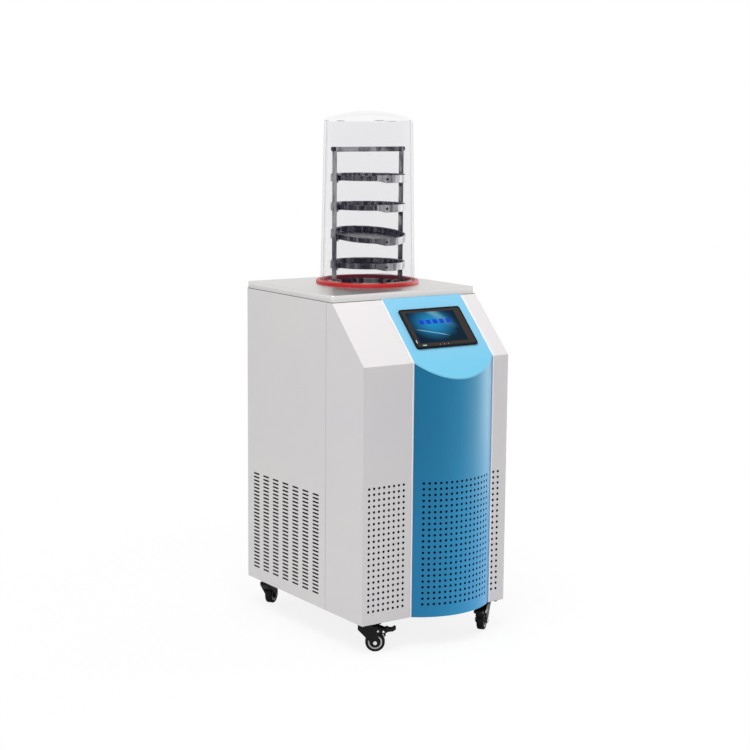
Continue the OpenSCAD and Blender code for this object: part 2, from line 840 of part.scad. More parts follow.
// A KF25 flange on a short pipe, welded through a square plate.
module vacuum_port() {
    bore_r = 12.5;
    pipe_r = 14.5;
    flange_t = 3;
    color("silver") translate([chamber_x, back_y, port_z]) rotate([-90, 0, 0]) difference() {
        union() {
            translate([0, 0, insulation_r + 2 + chamber_y - back_y]) cylinder(h = back_y - chamber_y
                - insulation_r - 2 + rear_reach, r = pipe_r);
            translate([0, 0, rear_reach - flange_t]) cylinder(h = flange_t, r = 20);
            translate([0, 0, rear_reach - flange_t - 1.5]) cylinder(h = 1.5, r1 = 14.5, r2 = 20);
            translate([-22, -22, 0]) cube([44, 44, 3]);
        }
        translate([0, 0, -100]) cylinder(h = 200, r = bore_r);
    }
}

// Ball valve: hexagon, body, stem boss and hose nozzle.
module drain_valve() {
    color("goldenrod") translate([chamber_x, back_y, drain_z]) {
        rotate([-90, 0, 0]) difference() {
            union() {
                cylinder(h = 3, r = 14);
                translate([0, 0, 3]) cylinder(h = 6, r = 13, $fn = 6);
                translate([0, 0, 9]) cylinder(h = 16, r = 11);
                translate([0, 0, 25]) cylinder(h = 19, r = 5);
                translate([0, 0, 39]) cylinder(h = 5, r1 = 6.2, r2 = 5);
            }
            translate([0, 0, -1]) cylinder(h = 60, r = 3.5);
        }
        translate([0, 17, 9]) cylinder(h = 7, r = 6);
        translate([0, 17, 9]) cylinder(h = 13, r = 3);
    }
}

module drain_lever() {
    lever_l = 52;
    color("red") translate([chamber_x, back_y + 17, drain_z + 16.2]) difference() {
        union() {
            cylinder(h = 4, r = 8);
            translate([-lever_l, -5, 1]) cube([lever_l, 10, 2.5]);
            translate([-lever_l, 0, 1]) cylinder(h = 2.5, r = 5);
        }
        translate([0, 0, -1]) cylinder(h = 10, r = 3.05);
    }
}

// Housing of the mains switch, with a well for its rocker.
module switch_body() {
    color("black") translate([switch_x, back_y, switch_z]) difference() {
        union() {
            translate([-16, 0, -12]) cube([32, 2, 24]);
            translate([-13.3, -24, -9.3]) cube([26.6, 24, 18.6]);
        }
        translate([-10.2, -9, -7.2]) cube([20.4, 12, 14.4]);
        translate([-12, -3, 0]) rotate([0, 90, 0]) cylinder(h = 24, r = rocker_pin_r + 0.05);
    }
}

// Rests switched off: its upper half stands out of the housing.
module switch_rocker() {
    color("darkred") translate([switch_x, back_y - 3, switch_z]) {
        rotate([10, 0, 0]) side_extrude(-9.9, 9.9) polygon([
            [-3.5, -3], [3.6, -6.2], [5.2, -6.2], [3.6, 0], [5.2, 6.2], [3.6, 6.2], [-3.5, 3]
        ]);
        translate([-12, 0, 0]) rotate([0, 90, 0]) cylinder(h = 24, r = rocker_pin_r);
    }
}

// Recessed mains inlet with three flat pins.
module power_inlet() {
    color("black") translate([switch_x, back_y, inlet_z]) difference() {
        union() {
            translate([-25, 0, -12]) cube([50, 2.5, 24]);
            translate([-13.8, -22, -9.8]) cube([27.6, 22, 19.6]);
        }
        translate([-12, -16, -8]) cube([24, 20, 16]);
        for (x = [-20, 20]) bar_y(x, -1, 0, 1.7, 5);
    }
    color("silver") translate([switch_x, back_y, inlet_z]) {
        for (x = [-7, 7]) translate([x - 1, -17, -3]) cube([2, 15, 4]);
        translate([-1, -17, 1]) cube([2, 15, 4]);
    }
}

// Outlet that feeds the vacuum pump: three slots in a raised face.
module pump_socket() {
    color("black") translate([socket_x, back_y, inlet_z]) difference() {
        union() {
            translate([-20, 0, -14]) cube([40, 2.5, 28]);
            translate([-15.8, -22, -11.8]) cube([31.6, 22, 23.6]);
            translate([-13, 0, -9]) cube([26, 4.5, 18]);
        }
        for (x = [-7, 7]) translate([x - 1.2, -12, -3.2]) cube([2.4, 20, 4.4]);
        translate([-1.2, -12, 0.8]) cube([2.4, 20, 4.4]);
    }
}

// Pan-head screws that hold the back panel.
module panel_screws() {
    head_r = 4;
    head_h = 2.4;
    rows = 5;
    color("silver") for (x = [8 - half_w, half_w - 8])
        for (k = [0 : rows - 1])
            translate([x, back_y, base_z + 20 + k * (cabinet_h - 40) / (rows - 1)])
                rotate([-90, 0, 0]) difference() {
                    cylinder(h = head_h, r = head_r);
                    for (a = [0, 90]) rotate([0, 0, a]) translate([-2.5, -0.5, head_h - 1])
                        cube([5, 1, 2]);
                }
}

// ---------- casters ----------

// Puts a caster's own frame at its swivel axis, with local X along its trail.
module at_caster(place) {
    translate([place[0], place[1], 0]) rotate([0, 0, place[2]]) children();
}

module caster_plates() {
    plate = 56;
    plate_t = 2.5;
    cup_r = 20;
    color("black") for (place = [front_left, front_right, rear_left, rear_right])
        translate([place[0], place[1], 0]) {
            translate([-plate / 2, -plate / 2, base_z - plate_t]) cube([plate, plate, plate_t]);
            translate([0, 0, crown_top + 0.4]) cylinder(h = base_z - crown_top - 0.4, r = cup_r);
            translate([0, 0, crown_top - crown_t - 1]) cylinder(h = crown_t + 3, r = 5);
            translate([0, 0, crown_top - crown_t - 3.4]) cylinder(h = 3, r = 8);
            for (x = [-22, 22])
                for (y = [-22, 22])
                    translate([x, y, base_z - plate_t - 3]) cylinder(h = 3, r = 5, $fn = 6);
        }
}

// Crown, a web down its back and two cheeks that taper down to the axle, with ears for a pedal.
module fork(place, brake) {
    crown_half = cheek_in + cheek_t;
    web_drop = 23.4;
    color("black") at_caster(place) difference() {
        union() {
            translate([-24, -crown_half, crown_top - crown_t])
                cube([24 + trail + 4, 2 * crown_half, crown_t]);
            for (y = [-crown_half, cheek_in])
                translate([0, y + cheek_t, 0]) rotate([90, 0, 0]) linear_extrude(cheek_t) {
                    polygon([
                        [-24, crown_top], [-24, crown_top - 8], [trail - 8, wheel_r - 3],
                        [trail, wheel_r - 8], [trail + 8, wheel_r], [trail + 8.5, crown_top - 19],
                        [brake ? pedal_u + 4 : trail + 9, brake ? pedal_z - 5 : crown_top - 16],
                        [brake ? pedal_u + 6 : trail + 9, crown_top - 9],
                        [trail + 4, crown_top]
                    ]);
                    translate([trail, wheel_r]) circle(8.4);
                }
            translate([0, crown_half, 0]) rotate([90, 0, 0]) linear_extrude(2 * crown_half)
                polygon([
                    [-24, crown_top], [-24, crown_top - 8], [-9, crown_top - web_drop],
                    [-7.2, crown_top - web_drop + 1.8], [-21.5, crown_top - 7], [-21.5, crown_top]
                ]);
            // Fixed rivet of the brake's spring
            if (brake)
                translate([trail + 7, crown_half + 1, pedal_z + 1]) rotate([90, 0, 0])
                    cylinder(h = 2 * crown_half + 2, r = 2.4);
        }
        translate([0, 0, crown_top - 10]) cylinder(h = 20, r = 5.05);
        translate([trail, 30, wheel_r]) rotate([90, 0, 0]) cylinder(h = 60, r = axle_r + 0.02);
        if (brake)
            translate([pedal_u, 30, pedal_z]) rotate([90, 0, 0])
                cylinder(h = 60, r = pedal_pin_r + 0.05);
    }
}

// Axle bolt with its head and cap nut outside the cheeks.
module axle(place) {
    reach = cheek_in + cheek_t;
    head_t = 3;
    color("silver") at_caster(place) translate([trail, 0, wheel_r]) rotate([90, 0, 0]) {
        translate([0, 0, -reach]) cylinder(h = 2 * reach, r = axle_r);
        translate([0, 0, reach]) cylinder(h = head_t, r = 5);
        translate([0, 0, -reach - head_t]) cylinder(h = head_t, r = 5);
    }
}

// A crowned tyre on a dished hub, bored for the axle.
module wheel(place) {
    face_r = 18.5;
    dish = 2;
    half = wheel_w / 2;
    color("black") at_caster(place) translate([trail, 0, wheel_r]) rotate([90, 0, 0])
        rotate_extrude() difference() {
            union() {
                translate([0, 2 - half]) square([wheel_r, wheel_w - 4]);
                translate([0, -half]) square([wheel_r - 2, wheel_w]);
                for (s = [-1, 1]) translate([wheel_r - 2, s * (half - 2)]) circle(2);
                for (s = [-1, 1]) translate([0, s * half - 0.5]) square([7, 1]);
            }
            for (s = [-1, 1])
                translate([8, s > 0 ? half - dish : -half]) square([face_r - 8, dish]);
            translate([0, -wheel_w]) square([axle_r + 0.05, 2 * wheel_w]);
        }
}

// A foot lever with a turned-up toe and a pad over the tyre.
module pedal(place) {
    half = cheek_in - 0.8;
    color("black") at_caster(place) {
        translate([0, half, 0]) rotate([90, 0, 0]) linear_extrude(2 * half) {
            translate([pedal_u, pedal_z]) circle(5);
            translate([pedal_u, pedal_z]) polygon([
                [-4, 2], [-2, -4.5], [0, -8], [2, -13], [4, -14], [6, -12], [5, -5], [14, -1],
                [24, 0], [32, 5.5], [31, 9.5], [27, 10], [21, 5.5], [15, 6], [9, 9], [0, 5]
            ]);
        }
        translate([pedal_u, cheek_in + cheek_t, pedal_z]) rotate([90, 0, 0])
            cylinder(h = 2 * (cheek_in + cheek_t), r = pedal_pin_r);
    }
}

base_pan();
chassis_frame();
front_shell();
left_side_panel();
right_side_panel();
back_panel();
worktop_gasket();
worktop();
front_grille();
screen_fascia();
cover_trims();
screen_bezel();
screen_glass();
seal_ring();
bell_jar();
rack_frame();
rack_screws();
shelf_ring(1);  // shelf_ring_1
shelf_ring(2);  // shelf_ring_2
shelf_ring(3);  // shelf_ring_3
shelf_ring(4);  // shelf_ring_4
tray(1);  // tray_1
tray(2);  // tray_2
tray(3);  // tray_3
tray(4);  // tray_4
trap_flange();
trap_well();
evaporator_coil();
trap_insulation();
drain_tube();
compressor();
condenser();
fan_shroud();
fan_rotor();
filter_drier();
vacuum_port();
drain_valve();
drain_lever();
switch_body();
switch_rocker();
power_inlet();
pump_socket();
panel_screws();
caster_plates();
fork(front_left, true);  // fork_front_left
fork(front_right, true);  // fork_front_right
fork(rear_left, false);  // fork_rear_left
fork(rear_right, false);  // fork_rear_right
axle(front_left);  // axle_front_left
axle(front_right);  // axle_front_right
axle(rear_left);  // axle_rear_left
axle(rear_right);  // axle_rear_right
wheel(front_left);  // wheel_front_left
wheel(front_right);  // wheel_front_right
wheel(rear_left);  // wheel_rear_left
wheel(rear_right);  // wheel_rear_right
pedal(front_left);  // pedal_front_left
pedal(front_right);  // pedal_front_right
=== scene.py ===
"""Looks of the freeze dryer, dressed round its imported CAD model. Metres, CAD frame."""
import json
import math

import bmesh
import bpy
import numpy as np
from mathutils import Matrix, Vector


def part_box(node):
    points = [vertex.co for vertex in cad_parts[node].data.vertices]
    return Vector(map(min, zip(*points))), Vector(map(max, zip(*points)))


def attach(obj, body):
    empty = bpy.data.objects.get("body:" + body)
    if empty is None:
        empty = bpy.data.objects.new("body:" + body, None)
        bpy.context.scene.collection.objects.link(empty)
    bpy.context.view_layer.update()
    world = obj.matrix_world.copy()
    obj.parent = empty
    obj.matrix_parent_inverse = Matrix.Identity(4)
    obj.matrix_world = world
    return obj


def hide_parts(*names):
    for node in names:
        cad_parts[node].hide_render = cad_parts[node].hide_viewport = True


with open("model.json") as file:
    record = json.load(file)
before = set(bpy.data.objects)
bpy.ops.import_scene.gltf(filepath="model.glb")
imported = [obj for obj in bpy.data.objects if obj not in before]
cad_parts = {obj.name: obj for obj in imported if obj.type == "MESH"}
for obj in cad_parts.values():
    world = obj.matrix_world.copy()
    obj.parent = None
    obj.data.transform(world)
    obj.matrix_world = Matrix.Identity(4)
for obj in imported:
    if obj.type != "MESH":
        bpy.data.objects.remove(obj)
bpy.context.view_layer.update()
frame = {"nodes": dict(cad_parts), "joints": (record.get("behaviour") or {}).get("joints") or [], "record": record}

MM = 0.001
NODES = frame["nodes"]
BODY = {n: b for b, members in frame["record"]["behaviour"]["bodies"].items() for n in members}
JOINT = {j["name"]: j for j in frame["joints"]}
CORNERS = ("front_left", "front_right", "rear_left", "rear_right")


def span(node):
    """Lowest and highest corner of a CAD node, as arrays."""
    low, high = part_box(node)
    return np.array(low), np.array(high)


SHELL_LOW, SHELL_HIGH = span("front_shell")
SIDE_X, FRONT_Y, BASE_Z = float(SHELL_HIGH[0]), float(SHELL_LOW[1]), float(SHELL_LOW[2])
BACK_Y = float(span("back_panel")[1][1])
SLOPE_RUN = 144 * MM
SLOPE_Z = float(SHELL_HIGH[2]) - SLOPE_RUN
SHEET = 1.5 * MM

# Perforations in front: pitch, rows, and the lowest row's height over the cabinet's foot
HOLE_PITCH, HOLE_ROWS, LOWEST_ROW = 15 * MM, 22, 34 * MM
# Slots: half length and half height, then the step from slot to slot up a column
SLOT_HALF, SLOT_STEP = (14.5 * MM, 2 * MM), 10 * MM

# The cover is an arc: its chord is its width, and its bulge is how far it stands out of the front
COVER_LOW, COVER_HIGH = span("front_grille")
COVER_BULGE, COVER_CHORD = FRONT_Y - float(COVER_LOW[1]), float(COVER_HIGH[0] - COVER_LOW[0])
COVER_R = (COVER_CHORD * COVER_CHORD / 4 + COVER_BULGE * COVER_BULGE) / (2 * COVER_BULGE)
COVER_X, COVER_Y = float(COVER_LOW[0] + COVER_HIGH[0]) / 2, float(COVER_LOW[1]) + COVER_R
COVER_HALF_ANGLE = math.asin(COVER_CHORD / 2 / COVER_R)


# ---------- camera ----------

def place_camera():
    """Looks at the front left from 4.5 m away, nine degrees down."""
    yaw, pitch, roll = map(math.radians, (-34.358, 9.0, 0.4835))
    forward = np.array([-math.sin(yaw) * math.cos(pitch), math.cos(yaw) * math.cos(pitch), -math.sin(pitch)])
    right = np.cross(forward, [0, 0, 1])
    right /= np.linalg.norm(right)
    up = np.cross(right, forward)
    turned = math.cos(roll) * right + math.sin(roll) * up
    up = math.cos(roll) * up - math.sin(roll) * right
    camera = bpy.data.objects.new("camera", bpy.data.cameras.new("camera"))
    camera.data.lens = 82.23
    camera.data.sensor_width = 36
    camera.data.clip_end = 60
    place = np.eye(4)
    place[:3, 0], place[:3, 1], place[:3, 2] = turned, up, -forward
    place[:3, 3] = (-2.5357, -3.7113, 1.3708)
    camera.matrix_world = Matrix(place.tolist())
    bpy.context.scene.collection.objects.link(camera)
    bpy.context.scene.camera = camera


place_camera()


# ---------- shader maths ----------

class Val:
    """A socket in a node tree. Arithmetic on it adds Math nodes."""

    def __init__(self, nodes, socket):
        self.nodes, self.socket = nodes, socket

    def math(self, operation, *values):
        return self.nodes.math(operation, *values)

    def __add__(self, other):
        return self.math("ADD", self, other)

    def __sub__(self, other):
        return self.math("SUBTRACT", self, other)

    def __rsub__(self, other):
        return self.math("SUBTRACT", other, self)

    def __mul__(self, other):
        return self.math("MULTIPLY", self, other)

    def __truediv__(self, other):
        return self.math("DIVIDE", self, other)

    def __pow__(self, other):
        return self.math("POWER", self, other)

    def __abs__(self):
        return self.math("ABSOLUTE", self)

    def most(self, other):
        return self.math("MAXIMUM", self, other)

    def least(self, other):
        return self.math("MINIMUM", self, other)

    __radd__ = __add__
    __rmul__ = __mul__


class Nodes:
    """A node tree, and the one way in which nodes are added to it."""

    def __init__(self, tree):
        self.tree = tree

    def fill(self, node, values):
        for key, value in values.items():
            socket = node.inputs[key]
            if isinstance(value, Val):
                self.tree.links.new(value.socket, socket)
            elif socket.type == "RGBA":
                socket.default_value = (*value[:3], 1)
            else:
                socket.default_value = value

    def node(self, kind, settings=None, values=None, out=0):
        """Makes one node: settings first, then its sockets. Returns one output."""
        made = self.tree.nodes.new(kind)
        for key, value in (settings or {}).items():
            if key == "stops":
                while len(made.color_ramp.elements) < len(value):
                    made.color_ramp.elements.new(0.5)
                for element, (place, tint) in zip(made.color_ramp.elements, value):
                    element.position, element.color = place, (*tint, 1)
            else:
                setattr(made, key, value)
        self.fill(made, values or {})
        return Val(self, made.outputs[out])

    def math(self, operation, *values):
        return self.node("ShaderNodeMath", {"operation": operation}, dict(enumerate(values)))

    def step(self, value, low, high):
        """Rises smoothly from 0 at low to 1 at high."""
        return self.node("ShaderNodeMapRange", {"interpolation_type": "SMOOTHSTEP"},
                         {"Value": value, "From Min": low, "From Max": high})

    def rays(self, *kinds):
        """1 for a ray of one of these kinds, else 0."""
        outputs = self.node("ShaderNodeLightPath").socket.node.outputs
        hit = Val(self, outputs[f"Is {kinds[0]} Ray"])
        for kind in kinds[1:]:
            hit = hit.most(Val(self, outputs[f"Is {kind} Ray"]))
        return hit


class Paint(Nodes):
    """A node material on Object coordinates."""

    def __init__(self, name, color, roughness, **sockets):
        self.material = bpy.data.materials.new(name)
        self.material.use_nodes = True
        self.material.diffuse_color = (*color, 1)
        super().__init__(self.material.node_tree)
        self.shader = self.tree.nodes["Principled BSDF"]
        self.color = color
        self.set(**{"Base Color": color, "Roughness": roughness}, **sockets)

    def set(self, **sockets):
        self.fill(self.shader, {k.replace("_", " "): v for k, v in sockets.items()})

    def coords(self, stretch=(1, 1, 1), offset=(0, 0, 0)):
        place = self.node("ShaderNodeTexCoord", out="Object")
        return self.node("ShaderNodeMapping", None, {"Vector": place, "Location": offset, "Scale": stretch})

    def xyz(self, offset=(0, 0, 0)):
        """The three Object coordinates, moved by an offset."""
        split = self.node("ShaderNodeSeparateXYZ", None, {0: self.coords(offset=offset)}).socket.node
        return [Val(self, s) for s in split.outputs]

    def noise(self, scale, detail=2.0, stretch=(1, 1, 1), rough=0.5):
        return self.node("ShaderNodeTexNoise", None, {
            "Vector": self.coords(stretch), "Scale": scale, "Detail": detail, "Roughness": rough})

    def facing(self):
        """0 where the surface is seen straight on, 1 where it is seen edge on."""
        return self.node("ShaderNodeLayerWeight", None, {"Blend": 0.5}, out="Facing")

    def mix(self, factor, a, b):
        return self.node("ShaderNodeMix", {"data_type": "RGBA"}, {0: factor, 6: a, 7: b}, out=2)

    def ramp(self, factor, *stops):
        return self.node("ShaderNodeValToRGB", {"stops": stops}, {0: factor})

    def shade(self, amount, by):
        """The base colour, lighter and darker by a share of itself where `by` leaves 0.5."""
        darker = [c * (1 - amount) for c in self.color]
        lighter = [min(1, c * (1 + amount)) for c in self.color]
        return self.mix(by, darker, lighter)

    def bump(self, height, strength, distance):
        self.set(Normal=self.node("ShaderNodeBump", None, {
            "Height": height, "Strength": strength, "Distance": distance}))


def powder_coat(name, color, roughness=0.42):
    """Baked powder paint: a fine orange peel, and a sheen that changes slowly."""
    p = Paint(name, color, roughness)
    slow = p.noise(5, 2)
    p.set(**{"Base Color": p.shade(0.025, slow)}, Roughness=slow * 0.10 + (roughness - 0.05))
    p.bump(p.noise(900, 1.5), 0.10, 0.0004)
    return p.material


def openings(p, across, up, first, pitch, count, half, rim):
    """1 on and close round each of a field of slots, with a band `rim` wide round each slot that is painted
    shadow.
    `first`, `pitch`, `count` and `half` are pairs, across and up; a slot is every place nearer than its half
    height to the straight core of its own cell."""
    inside, away = 1.0, []
    for k, value in enumerate((across, up)):
        cells = (value - first[k]) / pitch[k] + 0.5
        inside = p.step(cells, 0.0, 0.01) * (1 - p.step(cells, count[k] - 0.01, count[k])) * inside
        away.append(abs((p.math("FRACT", cells) - 0.5) * pitch[k]))
    off = ((away[0] - (half[0] - half[1])).most(0.0) ** 2 + away[1] ** 2) ** 0.5
    return (1 - p.step(off, half[1] + rim - 0.15 * MM, half[1] + rim + 0.15 * MM)) * inside


def panel_paint():
    """Pale powder paint outside. Cut edges and inner faces below any outer plane are painted near black as shade,
    and a thin rim round each opening as painted shadow. The front face is painted a shade darker."""
    p = Paint("pale_panel_paint", (0.71, 0.685, 0.695), 0.42)
    x, y, z = p.xyz()
    run, rise = y - FRONT_Y, z - SLOPE_Z
    depth = (SIDE_X - abs(x)).least(run).least((run - rise) * math.sqrt(0.5)).least(BACK_Y - y)
    # Inner faces and cut edges: painted shade.
    inside = p.step(depth, 0.12 * MM, 0.30 * MM)
    front = 1 - p.step(run, 0.4 * MM, 1.2 * MM)
    flank = p.step(abs(x), SIDE_X - 0.6 * MM, SIDE_X - 0.3 * MM)
    rear = p.step(y, BACK_Y - 0.6 * MM, BACK_Y - 0.3 * MM)

    def holes(first_x, columns):
        return openings(p, x, z, (first_x, BASE_Z + LOWEST_ROW), (HOLE_PITCH, HOLE_PITCH),
                        (columns, HOLE_ROWS), (3 * MM, 3 * MM), 0.5 * MM)

    def slots(across, first, pitch, count):
        return openings(p, across, z, first, (pitch, SLOT_STEP), count, SLOT_HALF, 0.35 * MM)

    # The perforations, each with its rim of painted shadow.
    strips = holes(18.5 * MM - SIDE_X, 8).most(holes(float(COVER_HIGH[0]) + 11 * MM, 2)) * front
    sides = slots(y, (FRONT_Y + 218 * MM, BASE_Z + 36 * MM), 50 * MM, (7, 27)) * flank
    vents = slots(x, (-165 * MM, BASE_Z + 260 * MM), 40 * MM, (5, 12)) * rear
    warm = p.mix(p.noise(3.2, 3), (0.72, 0.70, 0.675), (0.70, 0.67, 0.715))
    # The front face painted six percent darker: painted shade.
    warm = p.mix(front * 0.06, warm, (0.0, 0.0, 0.0))
    # Everything painted near black: shade on inner faces and cut edges, shadow round the openings.
    dark = inside.most(strips).most(sides).most(vents)
    p.set(**{"Base Color": p.mix(dark, warm, (0.008, 0.008, 0.009))}, Roughness=p.noise(5, 2) * 0.10 + 0.37)
    p.bump(p.noise(900, 1.5), 0.10, 0.0004)
    return p.material


def worktop_steel():
    """Brushed sheet steel with a long grain across the top. The turned-down edge is painted paler and less
    metallic: painted light.
    """
    p = Paint("worktop_brushed_steel", (0.60, 0.59, 0.575), 0.34, Metallic=1.0)
    grain = p.noise(4, 4, (3, 260, 260), 0.65)
    slow = p.noise(7, 2)
    top = float(span("worktop")[1][2])
    # skirt: the turned-down edge, painted light.
    skirt = 1 - p.step(p.xyz()[2], top - 2.0 * MM, top - 0.6 * MM)
    p.set(**{"Base Color": p.mix(skirt, p.shade(0.10, grain), (0.80, 0.79, 0.78))},
          Metallic=1 - skirt * 0.30, Roughness=grain * 0.16 + slow * 0.08 + 0.22)
    p.bump(grain, 0.06, 0.0003)
    return p.material


def moulded(name, color, roughness=0.4, grain=1400, depth=0.12, **sockets):
    """Moulded plastic with a fine spark-eroded grain."""
    p = Paint(name, color, roughness, **sockets)
    slow = p.noise(18, 2)
    p.set(**{"Base Color": p.shade(0.06, slow)}, Roughness=slow * 0.12 + (roughness - 0.06))
    p.bump(p.noise(grain, 2), depth, 0.0003)
    return p.material


def bright_metal(name, color, roughness=0.2):
    """Plated or turned metal with faint handling marks."""
    p = Paint(name, color, roughness, Metallic=1.0)
    marks = p.noise(160, 4, rough=0.7)
    p.set(**{"Base Color": p.shade(0.08, marks)}, Roughness=marks * 0.2 + (roughness - 0.08))
    return p.material


PANEL = panel_paint()
# Base pan and chassis painted dark grey as shade inside the cabinet.
INNER_SHADE_GREY = powder_coat("inner_grey_painted_shade", (0.045, 0.045, 0.048))
WORKTOP = worktop_steel()
PORT = bright_metal("port_turned_steel", (0.66, 0.66, 0.66), 0.22)
SCREW = bright_metal("screw_zinc", (0.68, 0.68, 0.67), 0.26)
AXLE = bright_metal("axle_zinc", (0.74, 0.74, 0.73), 0.20)
BRASS = bright_metal("valve_brass", (0.78, 0.60, 0.28), 0.28)
COPPER = bright_metal("coil_copper", (0.30, 0.15, 0.08), 0.4)
# Condenser fins darkened far below aluminium's own colour: painted shade.
FINS_PAINTED_SHADE = bright_metal("fin_aluminium_painted_shade", (0.11, 0.11, 0.112), 0.5)
TRIM = moulded("trim_pale_gloss", (0.84, 0.83, 0.88), 0.22, 900, 0.03, Coat_Weight=0.6,
               Coat_Roughness=0.06)
KNOB = moulded("black_knob_plastic", (0.008, 0.008, 0.009), 0.38, Specular_IOR_Level=0.25)
CASTER = moulded("caster_black_enamel", (0.004, 0.004, 0.004), 0.34, 700, 0.08, Specular_IOR_Level=0.16)
TYRE = moulded("tyre_black_rubber", (0.005, 0.005, 0.005), 0.52, 900, 0.16, Specular_IOR_Level=0.18)
PEDAL = moulded("pedal_black_nylon", (0.005, 0.005, 0.005), 0.44, Specular_IOR_Level=0.16)
# Pale ring on the wheel faces: painted highlight.
WHEEL_RIM_HIGHLIGHT = moulded("wheel_rim_painted_highlight", (0.55, 0.56, 0.58), 0.36)
ELECTRIC = moulded("electric_black_plastic", (0.014, 0.014, 0.015), 0.42, Specular_IOR_Level=0.3)
GASKET = moulded("gasket_black_rubber", (0.012, 0.012, 0.012), 0.62, Specular_IOR_Level=0.25)
FAN = moulded("fan_black_plastic", (0.010, 0.010, 0.010), 0.45, Specular_IOR_Level=0.25)
# Black for the pads behind the openings: painted shade.
SHADE_PAD = moulded("shade_pad_black", (0.006, 0.006, 0.006), 0.9, 500, 0.6, Specular_IOR_Level=0.05)
# Fan shroud darkened to near black: painted shade.
SHROUD_PAINTED_SHADE = powder_coat("shroud_painted_shade", (0.012, 0.012, 0.013))
COMPRESSOR = powder_coat("compressor_black_paint", (0.010, 0.010, 0.011), 0.34)
FOAM = moulded("foam_skin_in_shade", (0.10, 0.092, 0.07), 0.8, 240, 0.5)
TUBE = moulded("milky_tube", (0.78, 0.78, 0.74), 0.42)
LEVER = moulded("red_lever_sleeve", (0.56, 0.025, 0.025), 0.30, 900, 0.04)
ROCKER = moulded("red_rocker", (0.52, 0.020, 0.018), 0.26, 900, 0.03)
BEZEL = moulded("bezel_black_gloss", (0.003, 0.003, 0.004), 0.30, 900, 0.02, Specular_IOR_Level=0.10)


def cover_paint():
    """Blue lacquer, with a painted sheen that pales it where it is seen aslant, and a shade lighter towards the
    foot.
    The inner face and the cut edges, nearer to the arc's axis than its radius, are painted near black as shade."""
    p = Paint("cover_blue_lacquer", (0.004, 0.160, 0.330), 0.36, Specular_IOR_Level=0.22, Coat_Weight=0.12,
              Coat_Roughness=0.16)
    x, y, z = p.xyz()
    lower = 1 - p.step(z, BASE_Z + 180 * MM, BASE_Z + 500 * MM)
    # The paling towards edge on is a painted sheen, standing in for reflection.
    sheen_facing = p.facing()
    above = p.ramp(sheen_facing, (0, (0.001, 0.150, 0.310)), (0.20, (0.022, 0.235, 0.440)),
                   (0.55, (0.150, 0.430, 0.640)), (0.80, (0.270, 0.560, 0.800)))
    below = p.ramp(sheen_facing, (0, (0.002, 0.175, 0.370)), (0.20, (0.018, 0.270, 0.530)),
                   (0.55, (0.070, 0.370, 0.690)), (0.80, (0.140, 0.450, 0.790)))
    across, along = x - COVER_X, y - COVER_Y
    # Inner face and cut edges: painted shade.
    inside = 1 - p.step((across * across + along * along) ** 0.5, COVER_R - 0.30 * MM, COVER_R - 0.12 * MM)
    p.set(**{"Base Color": p.mix(inside, p.mix(lower, above, below), (0.001, 0.003, 0.008))},
          Roughness=p.noise(9, 2) * 0.08 + 0.32)
    p.bump(p.noise(800, 1.5), 0.05, 0.0003)
    return p.material


def fascia_paint():
    """Pale blue lacquer, a little greener towards its lower arc, under a thin clear coat."""
    p = Paint("fascia_pale_blue_lacquer", (0.175, 0.520, 0.745), 0.36, Specular_IOR_Level=0.25,
              Coat_Weight=0.15, Coat_Roughness=0.14)
    fall = 1 - p.step(p.xyz()[2], SLOPE_Z - 20 * MM, SLOPE_Z + 60 * MM)
    tint = p.mix(fall, (0.185, 0.520, 0.745), (0.140, 0.520, 0.745))
    p.set(**{"Base Color": p.mix(p.noise(7, 2) * 0.06, tint, (1, 1, 1))},
          Roughness=p.noise(9, 2) * 0.08 + 0.32)
    p.bump(p.noise(800, 1.5), 0.05, 0.0003)
    return p.material


